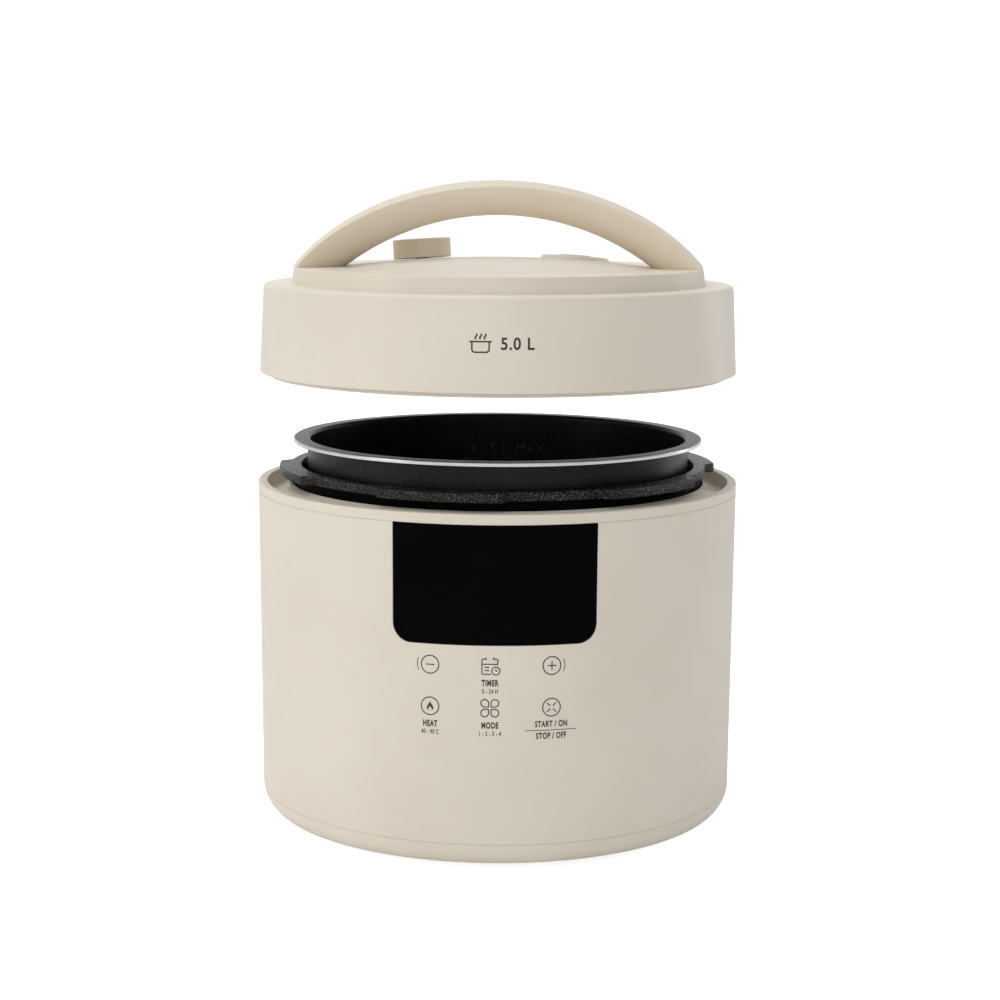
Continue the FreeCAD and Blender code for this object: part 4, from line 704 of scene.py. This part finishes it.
# Pot: wall, base and out-turned rim as one outline turned about Z; the last quarter millimetre of the
# rim's edge is a separate bright band, where the coating has been turned off.
def buildPot(s):
    outside = potBox[1][0] - s["rim"]
    low, high, rim = potBox[0][2], potBox[1][2], potBox[1][0]
    inside, under = outside - s["wall"], high - s["rimThickness"]
    edge = rim - s["band"]
    outline = roundedOutline([
        (0, low), (outside, low, s["corner"]), (outside, under, 1.0), (edge, under, 0.4),
        (edge, high, 0.5), (inside, high, s["cove"]),
        (inside, low + s["wall"], s["corner"] - s["wall"]), (0, low + s["wall"])], closed=False, steps=10)
    makePiece("cookingPot", [turned(outline, fullTurn)], "inner_pot", "coating", ["inner_pot"])
    grip = edge - s["bandGrip"]
    band = roundedOutline([
        (grip, under + s["band"], 0.1), (edge - 0.1, under - 0.02, 0.3), (rim, under + 0.35, 0.4),
        (rim, high - 0.55, 0.5), (edge - 0.3, high, 0.3), (grip, high - s["band"], 0.1)])
    makePiece("potRimBand", [turned(band, fullTurn)], "inner_pot", "turned")


buildDrum(drum)
buildBayonet(bayonet)
buildPot(pot)
print("drum, bayonet and pot built")


# lid: skirt, lining and cap
skirtBox, liningBox, capBox = nodeBox("lid_skirt"), nodeBox("lid_lining"), nodeBox("lid_cap")
sealBox = nodeBox("sealing_ring")
lid = dict(draft=2.6, wall=2.6, footRound=0.8, shoulderRound=2.6, ledge=119.1, lining=1.8, cap=122.0,
           capRim=120.5, capRound=0.7, flatTo=90.5, dome=5.5, capWall=2.6)


# height of the cap's top at a distance from the axis: a ball's cap, and flat beyond its foot
def capTop(radius):
    ball = (lid["flatTo"] ** 2 + lid["dome"] ** 2) / (2 * lid["dome"])
    low = capBox[1][2] - lid["dome"]
    return np.where(radius < lid["flatTo"], low + lid["dome"] - ball
                    + np.sqrt(np.maximum(ball ** 2 - radius ** 2, 0)), low)


# Lid: the skirt, the lining below it and the cap are three outlines turned about Z. The cap's wall is the
# dome's own curve, shifted down by the wall.
def buildLid(s):
    foot, shoulder, outside = skirtBox[0][2], skirtBox[1][2], skirtBox[1][0]
    upper, rimZ = outside - s["draft"], capBox[1][2] - s["dome"]
    skirt = roundedOutline([
        (outside - s["wall"], foot, 0.3), (outside, foot, s["footRound"]),
        (upper, shoulder, s["shoulderRound"]), (s["ledge"], shoulder, 0.3),
        (s["ledge"], shoulder - s["wall"]), (upper - s["wall"], shoulder - s["wall"], 1.0)], steps=10)
    makePiece("lidSkirt", [turned(skirt, fullTurn)], "lid", "creamFine", ["lid_skirt"])
    ringOut = liningBox[1][0]
    lining = roundedOutline([
        (ringOut - s["lining"], liningBox[0][2], 0.5), (ringOut, liningBox[0][2], 0.7),
        (ringOut, liningBox[1][2]), (ringOut - s["lining"], liningBox[1][2])])
    makePiece("lidLining", [turned(lining, fullTurn)], "lid", "cream", ["lid_lining"])
    inner = s["flatTo"] * np.linspace(1, 0, 25)
    dome = np.stack([inner, capTop(inner)], axis=1)
    edge = roundedOutline([(s["cap"], shoulder), (s["capRim"], rimZ, s["capRound"]), (s["flatTo"] + 4, rimZ)],
                          closed=False)
    under = np.stack([inner[::-1], capTop(inner[::-1]) - s["capWall"]], axis=1)
    back = np.array([(s["capRim"] - s["capWall"], rimZ - s["capWall"]), (s["cap"] - s["capWall"], shoulder),
                     (s["cap"], shoulder)])
    cap = np.vstack([edge, dome, under, back])
    makePiece("lidCap", [turned(cap, fullTurn)], "lid", "creamFine", ["lid_cap"])


buildLid(lid)

# handle
handleBox = nodeBox("handle")
handle = dict(halfWidth=18.0, endHalfWidth=30.0, extra=20.5, endRise=1.2, thickness=20.4, foot=30.1,
              drop=3.7, endDrop=0.5, endRound=1.5, sink=1.2, hullSide=2.0, hullKeel=1.75, edgeSoft=5)


# Handle: at each place along it the ridge follows an ellipse and the keel a circle's arc. Across it, the
# top falls from the ridge to a crisp edge as a parabola, and the side runs down to the keel along a
# superellipse, stopped where the cap begins. Its ends lie on the cap's own rim circle.
def buildHandle(s):
    rim, crown, capZ = lid["capRim"], handleBox[1][2], capBox[1][2] - lid["dome"]
    rise = crown - capZ
    along = np.sin(np.linspace(-math.pi / 2, math.pi / 2, 161))
    fade = np.linspace(0, 1, 9)[1:-1] ** 2
    along = np.unique(np.concatenate([along, 1 - fade * 0.02, fade * 0.02 - 1]))[:, None]
    plain = along * rim
    length = rim + s["extra"]
    height = (rise - s["endRise"]) / (1 - math.sqrt(1 - (rim / length) ** 2))
    ridge = crown - height * (1 - np.sqrt(1 - (plain / length) ** 2))
    over = np.clip(s["endRound"] - (rim - np.abs(plain)), 0, s["endRound"])
    ridge = ridge - (s["endRound"] - np.sqrt(s["endRound"] ** 2 - over ** 2))
    archRise, archHalf = rise - s["thickness"], rim - s["foot"]
    arch = (archHalf ** 2 + archRise ** 2) / (2 * archRise)
    keel = capZ + archRise - arch + np.sqrt(arch ** 2 - plain ** 2)
    widening = s["endHalfWidth"] - s["halfWidth"]
    sideArc = (rim ** 2 + widening ** 2) / (2 * widening)
    width = s["halfWidth"] + sideArc - np.sqrt(sideArc ** 2 - plain ** 2)
    fall = s["endDrop"] + (s["drop"] - s["endDrop"]) * (1 - np.abs(along) ** 3)
    edge, floor = ridge - fall, capZ - s["sink"]
    edge = np.maximum(edge, floor + 0.01)
    near = np.array([0, 0.006, 0.012, 0.02, 0.03, 0.045, 0.07])
    half = np.concatenate([1 - near, np.linspace(0.9, 0, 12)])
    v = np.concatenate([-half, half[-2::-1]])[None, :]
    down = np.concatenate([near * 0.7, np.linspace(0.08, 1, 20)])[None, :]
    share = np.clip((edge - floor) / (edge - keel), 0, 1)
    depth = down * share
    reach = np.clip(1 - depth ** s["hullKeel"], 0, 1) ** (1 / s["hullSide"])
    hullY, hullZ = width * reach, edge - (edge - keel) * depth
    y = np.hstack([v * width, hullY[:, 1:], -hullY[:, :0:-1], -width])
    z = np.hstack([ridge - fall * v ** 2, hullZ[:, 1:], hullZ[:, :0:-1], edge])
    # softening: each point moves a quarter of the way to its two neighbours, a few times, at the edges
    soft = np.zeros(y.shape[1])
    soft[:7] = soft[len(v[0]) - 7:len(v[0]) + 6] = soft[-7:] = 0.5
    for _ in range(s["edgeSoft"]):
        y = y + soft * ((np.roll(y[:, :-1], 1, 1) + np.roll(y[:, :-1], -1, 1)) / 2
                        - y[:, :-1])[:, np.r_[0:y.shape[1] - 1, 0]]
        z = z + soft * ((np.roll(z[:, :-1], 1, 1) + np.roll(z[:, :-1], -1, 1)) / 2
                        - z[:, :-1])[:, np.r_[0:z.shape[1] - 1, 0]]
    x = along * np.sqrt(rim ** 2 - y ** 2)
    skin = np.stack([x, y, z], axis=-1)
    caps = []
    for end in (skin[0], skin[-1]):
        middle = end[:-1].mean(axis=0)
        middle[0] = math.copysign(math.sqrt(rim ** 2 - middle[1] ** 2), middle[0])
        caps.append(np.stack([end, np.broadcast_to(middle, end.shape)]))
    # the handle wears the warmer cream copy, whose tint is painted warm bounce light
    makePiece("archedHandle", [skin] + caps, "lid", "creamPaintedBounce", ["handle"], crisp=50)


buildHandle(handle)
print("lid and handle built")

# knob, pad and button on the dome
joints = {j["name"]: j for j in frame["record"]["behaviour"]["joints"]}
knob = dict(radius=17.5, height=11.5, topRound=0.7, footRound=0.4, lift=0.4)
pad = dict(radius=21.5, rise=2.0, bevel=1.6, bevelRound=0.8, hole=10.3, sink=1.5)
button = dict(radius=10.0, proud=0.8, topRound=0.4, deep=0.76, dish=0.25)


# An outline turned about the joint's own axis: points in its frame are carried there by the turn that
# takes Z to the axis and then by the step from the origin to the joint.
def onDome(outline, joint, lift=0.0, columns=128):
    axis = Vector(joint["axis"]).normalized()
    turn = np.array(Vector((0, 0, 1)).rotation_difference(axis).to_matrix())
    grid = turned(outline, np.linspace(-180, 180, columns + 1))
    grid[..., 2] += lift
    return grid @ turn.T + domeFoot(joint)


# where the joint's axis comes out of the dome
def domeFoot(joint):
    axis = np.array(joint["axis"]) / np.linalg.norm(joint["axis"])
    centre = np.array([0, 0, capBox[1][2] - (lid["flatTo"] ** 2 + lid["dome"] ** 2) / (2 * lid["dome"])])
    return centre + axis * (capBox[1][2] - centre[2])


# Knob: a plain turned drum on the valve's stem.
def buildKnob(s):
    low, high = s["lift"], s["lift"] + s["height"]
    outline = roundedOutline([(0, low), (s["radius"], low, s["footRound"]),
                              (s["radius"], high, s["topRound"]), (0, high)], closed=False)
    # the knob wears the same warmer cream copy, tinted with painted warm bounce light
    makePiece("steamValveKnob", [onDome(outline, joints["steam_valve_turn"])], "steam_valve",
              "creamPaintedBounce", ["steam_valve_knob"])


# Pad: a low bevelled disc sunk into the dome, with a well that the button slides in.
def buildPad(s):
    well = s["hole"]
    outline = roundedOutline([
        (well, -s["sink"]), (s["radius"], -s["sink"]), (s["radius"], 0.0, 0.3),
        (s["radius"] - s["bevel"], s["rise"], s["bevelRound"]), (well, s["rise"], 0.35)])
    makePiece("releasePad", [onDome(outline, joints["button_press"])], "lid", "creamFine",
              ["button_bezel"])


# Button: its top is a shallow dish, a parabola of the radius, inside a rounded edge. Only the disc that
# shows is made, thin enough to go down its whole travel above the dome.
def buildButton(s):
    top = pad["rise"] + s["proud"]
    flat = s["radius"] - s["topRound"] - 0.6
    radii = np.linspace(flat, 0, 9)[:, None]
    dish = np.hstack([radii, top - s["dish"] * (1 - (radii / flat) ** 2)])
    edge = roundedOutline([(0, top - s["deep"]), (s["radius"], top - s["deep"], 0.2),
                           (s["radius"], top, s["topRound"]), (flat, top)], closed=False)
    makePiece("releaseButton", [onDome(np.vstack([edge, dish[1:]]), joints["button_press"])],
              "release_button", "creamFine", ["release_button"])


buildKnob(knob)
buildPad(pad)
buildButton(button)

# seal under the lid
seal = dict(inner=104.0, hollow=0.5, lip=4.0)


# Seal: a flat ring whose outer part opens into two thin lips round a shallow groove.
def buildSeal(s):
    low, high, outside = sealBox[0][2], sealBox[1][2], sealBox[1][0]
    middle = (low + high) / 2
    outline = roundedOutline([
        (s["inner"], low, 0.3), (outside, low, 0.25), (outside, low + s["hollow"], 0.2),
        (outside - s["lip"], middle - 0.2, 0.15), (outside - s["lip"], middle + 0.2, 0.15),
        (outside, high - s["hollow"], 0.2), (outside, high, 0.25), (s["inner"], high, 0.3)])
    makePiece("sealingRing", [turned(outline, fullTurn)], "inner_cover", "silicone",
              ["sealing_ring"])


buildSeal(seal)
print("knob, button and seal built")

# printed marks
marks = dict(
    thick=0.03, stroke=0.62, narrow=0.66, circle=4.95, rowHigh=117.6, rowLow=94.4,
    azimuths=dict(left=-14.56, middle=-1.28, right=12.34),
    # words, column, height on the wall, letter size, weight added to the strokes
    captions=(("TIMER", "middle", 108.2, 4.65, 0.2), ("0 - 24 H", "middle", 103.6, 3.5, 0.08),
              ("HEAT", "left", 84.6, 4.65, 0.2), ("40 - 90 C", "left", 80.0, 3.5, 0.08),
              ("MODE", "middle", 84.6, 4.65, 0.2), ("1 - 2 - 3 - 4", "middle", 80.0, 3.5, 0.08),
              ("START / ON", "right", 85.0, 4.65, 0.18), ("STOP / OFF", "right", 78.4, 4.65, 0.18)),
    ruleHeight=81.7, ruleHalf=14.5, ruleStroke=0.4,
    lidHeight=291.5, lidSign=-9.2, lidWords=10.4, lidLetter=9.0, lidStroke=0.85,
    potHeight=203.0, potRuleHeight=196.8, potLetter=9.5, potStroke=0.7, potThick=0.25)


# A line of even width: its two edges lie half the width either side, along the normal to the path.
def ribbon(points, width=marks["stroke"]):
    points = np.asarray(points, float)
    closed = np.allclose(points[0], points[-1])
    step = np.gradient(points, axis=0)
    if closed:
        step[0] = step[-1] = points[1] - points[-2]
    normal = np.stack([-step[:, 1], step[:, 0]], axis=1)
    normal *= width / 2 / np.linalg.norm(normal, axis=1, keepdims=True)
    return np.stack([points + normal, points - normal])


# places along a circle's arc, anticlockwise from +X
def arcPoints(radius, start=0.0, stop=360.0, centre=(0.0, 0.0), count=48):
    turn = np.radians(np.linspace(start, stop, count))
    return np.stack([centre[0] + radius * np.cos(turn), centre[1] + radius * np.sin(turn)], axis=1)


# places evenly along a line
def straight(x1, y1, x2, y2, count=8):
    return np.linspace((x1, y1), (x2, y2), count)


# a grid of flat points as (points, faces)
def flatGrid(grid):
    return grid.reshape(-1, 2), gridFaces(*grid.shape[:2]).reshape(-1, 4).tolist()


# lettering as (points, faces), centred on its place, drawn narrow like the panel's own labels
def lettering(words, size, weight=0.0, narrow=marks["narrow"], spacing=1.12):
    curve = bpy.data.curves.new("words", "FONT")
    curve.body, curve.size, curve.offset = words, size, weight
    curve.align_x, curve.align_y, curve.space_character = "CENTER", "CENTER", spacing
    holder = bpy.data.objects.new("words", curve)
    mesh = bpy.data.meshes.new_from_object(holder)
    points = np.empty(len(mesh.vertices) * 3)
    mesh.vertices.foreach_get("co", points)
    faces = [list(face.vertices) for face in mesh.polygons]
    bpy.data.objects.remove(holder)
    bpy.data.meshes.remove(mesh)
    return points.reshape(-1, 3)[:, :2] * (narrow, 1), faces


# the same shape moved over the flat
def shifted(shape, x, y):
    return shape[0] + (x, y), shape[1]


# Flat shapes become one thin solid laid on a surface: a copy of them lies on it, the shapes themselves
# stand off by the ink's thickness, and onto(x, y, height) carries both there.
def layMarks(name, shapes, onto, body, finish, thick=marks["thick"]):
    points, faces, start = [], [], 0
    for flat, cells in shapes:
        points.append(flat)
        faces += [[start + k for k in cell] for cell in cells]
        start += len(flat)
    flat = np.vstack(points)
    mesh = bpy.data.meshes.new(name)
    mesh.from_pydata(np.column_stack([flat, 0 * flat[:, 0]]).tolist(), [], faces)
    work = bmesh.new()
    work.from_mesh(mesh)
    grown = bmesh.ops.extrude_face_region(work, geom=work.faces[:], use_keep_orig=True)
    lifted = [item for item in grown["geom"] if isinstance(item, bmesh.types.BMVert)]
    bmesh.ops.translate(work, verts=lifted, vec=(0, 0, thick))
    bmesh.ops.recalc_face_normals(work, faces=work.faces)
    work.to_mesh(mesh)
    work.free()
    place = np.empty(len(mesh.vertices) * 3)
    mesh.vertices.foreach_get("co", place)
    x, y, height = place.reshape(-1, 3).T
    mesh.vertices.foreach_set("co", (onto(x, y, height) / 1000).ravel())
    mesh.update()
    dress(name, mesh, body, finish, crisp=30)


# keys: round ones with a sign in them, a calendar with a clock, and a four-petalled flower
def keyCircle():
    return flatGrid(ribbon(arcPoints(marks["circle"])))


def sideArc(way):
    middle = 0 if way > 0 else 180
    return flatGrid(ribbon(arcPoints(marks["circle"] + 2.3, middle - 28, middle + 28, count=24), 0.42))


def minusKey():
    return [keyCircle(), sideArc(-1), flatGrid(ribbon(straight(-2.5, 0, 2.5, 0)))]


def plusKey():
    return [keyCircle(), sideArc(1), flatGrid(ribbon(straight(-2.4, 0, 2.4, 0))),
            flatGrid(ribbon(straight(0, -2.4, 0, 2.4)))]


def crossKey():
    ends = [(a * 0.75, b * 0.75, a * 2.6, b * 2.6) for a in (-1, 1) for b in (-1, 1)]
    return [keyCircle()] + [flatGrid(ribbon(straight(*end))) for end in ends]


# Flame: a drop whose half width is sin(t) * sin(t/2)^2, with a smaller drop left open at its foot.
def flameKey():
    t = np.linspace(0, 2 * math.pi, 49)
    drop = np.stack([np.sin(t) * np.sin(t / 2) ** 2 * 2.9, np.cos(t) * 2.6 + 0.2], axis=1)
    core = np.stack([np.sin(t) * np.sin(t / 2) ** 2 * 1.5, np.cos(t) * 1.3 - 1.2], axis=1)
    return [keyCircle(), flatGrid(np.stack([drop, core]))]


def flowerKey():
    side, away = 2.1, 2.75
    petal = np.vstack([straight(-side, -side, 0, -side, 4)[:-1], arcPoints(side, -90, 180, count=32),
                       straight(-side, 0, -side, -side, 4)[1:]])
    return [flatGrid(ribbon((petal + away) * (a, b))) for a in (-1, 1) for b in (-1, 1)]


def calendarKey():
    page = roundedOutline([(4.2, 0.9), (4.2, 4.0, 0.6), (-4.4, 4.0, 0.6), (-4.4, -4.3, 0.6), (0.6, -4.3)],
                          closed=False)
    header, hooks = [(-4.4, 1.2, 4.2, 1.2)], [(-2.3, 4.0, -2.3, 5.1), (2.1, 4.0, 2.1, 5.1)]
    entries = [(-2.9, -0.5, -0.4, -0.5), (-2.9, -2.2, -0.4, -2.2)]
    hands = [(3.2, -1.5, 3.2, -2.6), (3.2, -2.6, 4.1, -2.6)]
    lines = [page] + [straight(*ends) for ends in header + hooks + entries]
    lines += [arcPoints(2.2, centre=(3.2, -2.5))] + [straight(*ends) for ends in hands]
    return [flatGrid(ribbon(line)) for line in lines]


# how far round the wall a place at an azimuth is
def alongWall(azimuth):
    return math.radians(azimuth - shell["lensAzimuth"]) * shell["radiusHigh"]


def buildPanelMarks(s):
    column = {name: alongWall(azimuth) for name, azimuth in s["azimuths"].items()}
    placed = [(minusKey(), column["left"], s["rowHigh"]), (calendarKey(), column["middle"], s["rowHigh"]),
              (plusKey(), column["right"], s["rowHigh"]), (flameKey(), column["left"], s["rowLow"]),
              (flowerKey(), column["middle"], s["rowLow"]), (crossKey(), column["right"], s["rowLow"])]
    placed += [([lettering(words, size, weight)], column[name], height)
               for words, name, height, size, weight in s["captions"]]
    rule = straight(-s["ruleHalf"], 0, s["ruleHalf"], 0, 40)
    placed.append(([flatGrid(ribbon(rule, s["ruleStroke"]))], column["right"], s["ruleHeight"]))
    shapes = [shifted(shape, x, z) for group, x, z in placed for shape in group]
    layMarks("panelMarks", shapes, lambda x, z, h: onWall(x, z, -h), "base", "ink")


# Lid mark: a small pot with steam over it, and the capacity.
def buildLidMark(s):
    bowl = roundedOutline([(-4.6, 1.2), (-4.6, -4.4, 1.6), (4.6, -4.4, 1.6), (4.6, 1.2)], closed=False)
    wave = np.linspace(-1, 1, 16)
    steam = [np.stack([x + 0.45 * np.sin(wave * math.pi), 3.9 + wave * 1.4], axis=1) for x in (-2.4, 0, 2.4)]
    lines = [bowl, straight(-6.0, 1.2, 6.0, 1.2)] + steam
    sign = [shifted(flatGrid(ribbon(line, s["lidStroke"])), s["lidSign"], s["lidHeight"]) for line in lines]
    words = shifted(lettering("5.0 L", s["lidLetter"], 0.2, 0.9), s["lidWords"], s["lidHeight"] - 0.2)
    low, high = skirtBox[0][2], skirtBox[1][2]

    def onSkirt(x, z, h):
        radius = skirtBox[1][0] - lid["draft"] * (z - low) / (high - low) + h
        return aboutAxis(radius, x / radius, z)

    layMarks("lidMark", sign + [words], onSkirt, "lid", "ink")


# Level marks pressed into the far side of the pot, read from the front.
def buildPotMarks(s):
    radius = potBox[1][0] - pot["rim"] - pot["wall"]
    words = [shifted(lettering(text, s["potLetter"], 0.0, 0.85), x, s["potHeight"])
             for text, x in (("4 - 5 L", -6), ("MAX", 21))]
    rules = [shifted(flatGrid(ribbon(straight(-half, 0, half, 0, 12), s["potStroke"])), x, s["potRuleHeight"])
             for x, half in ((-17, 5), (4, 8))]

    def onPot(x, z, h):
        return aboutAxis(radius - h, math.pi - x / radius, z)

    layMarks("potLevelMarks", words + rules, onPot, "inner_pot", "coatingMark",
             thick=s["potThick"])


buildPanelMarks(marks)
buildLidMark(marks)
buildPotMarks(marks)
print("marks laid")

# finishes for the parts kept from the CAD
finishBySlot = dict(
    cream_shell="cream", dark_lens="lens", cast_black="cast", drum_steel="enamel", pot_coating="coating",
    steel="steel", aluminium="aluminium", rubber_dark="rubber", silicone="silicone", circuit="board",
    black_plastic="black", cup_plastic="clear", brass="brass", wire="wire", zinc="zinc")
for part in frame["record"]["subparts"]:
    for place in frame["nodes"][part["node"]].material_slots:
        place.material = finishes[finishBySlot[part["material_slot"]]]
print("finishes given to the CAD parts")

# floor
# a white paper floor, which glows a little to the camera only so that it meets the white behind it
def makeFloor(s):
    mesh, reach = bpy.data.meshes.new("floor"), s["reach"]
    mesh.from_pydata([(-reach, -reach, 0), (reach, -reach, 0), (reach, reach, 0), (-reach, reach, 0)], [],
                     [(0, 1, 2, 3)])
    floor = bpy.data.objects.new("floor", mesh)
    bpy.context.scene.collection.objects.link(floor)
    paper = mouldedSoft("paperWhiteMatt", "#ffffff", "#fdfdfd", (0.85, 0.9))
    surface = paper.node_tree.nodes["Principled BSDF"]
    surface.inputs["Emission Color"].default_value = linear("#ffffff")
    seen = addNode(paper, "ShaderNodeLightPath").outputs["Is Camera Ray"]
    glow = addNode(paper, "ShaderNodeMath", {"operation": "MULTIPLY"}, {0: seen, 1: s["glow"]})
    paper.node_tree.links.new(glow.outputs[0], surface.inputs["Emission Strength"])
    mesh.materials.append(paper)


# studio: white to look at; its light is full from the front and dims overhead, to the left and, most of
# all, to the right
def makeWorld(s):
    world = bpy.data.worlds.new("studio")
    world.use_nodes = True
    way = addNode(world, "ShaderNodeTexCoord").outputs["Generated"]
    toward = addNode(world, "ShaderNodeSeparateXYZ", None, {"Vector": way}).outputs

    light = s["front"]
    for axis, near, far, level in (("Z", s["bandTop"], s["bandTop"] * 3, s["overhead"]),
                                   ("X", 0.0, -1.0, s["left"]), ("X", 0.0, 1.0, s["right"])):
        fade = addNode(world, "ShaderNodeMapRange", {"interpolation_type": "SMOOTHSTEP"}, {
            "Value": toward[axis], "From Min": near, "From Max": far, "To Min": 1.0, "To Max": level})
        light = addNode(world, "ShaderNodeMath", {"operation": "MULTIPLY"},
                        {0: fade.outputs["Result"], 1: light}).outputs[0]
    seen = addNode(world, "ShaderNodeLightPath").outputs["Is Camera Ray"]
    background = world.node_tree.nodes["Background"]
    background.inputs["Color"].default_value = linear("#ffffff")
    level = addNode(world, "ShaderNodeMath", {"operation": "MAXIMUM"}, {0: light, 1: seen})
    world.node_tree.links.new(level.outputs[0], background.inputs["Strength"])
    bpy.context.scene.world = world


makeFloor(dict(reach=6.0, glow=0.8))
makeWorld(dict(front=1.12, overhead=0.8, left=0.5, right=0.26, bandTop=0.1))
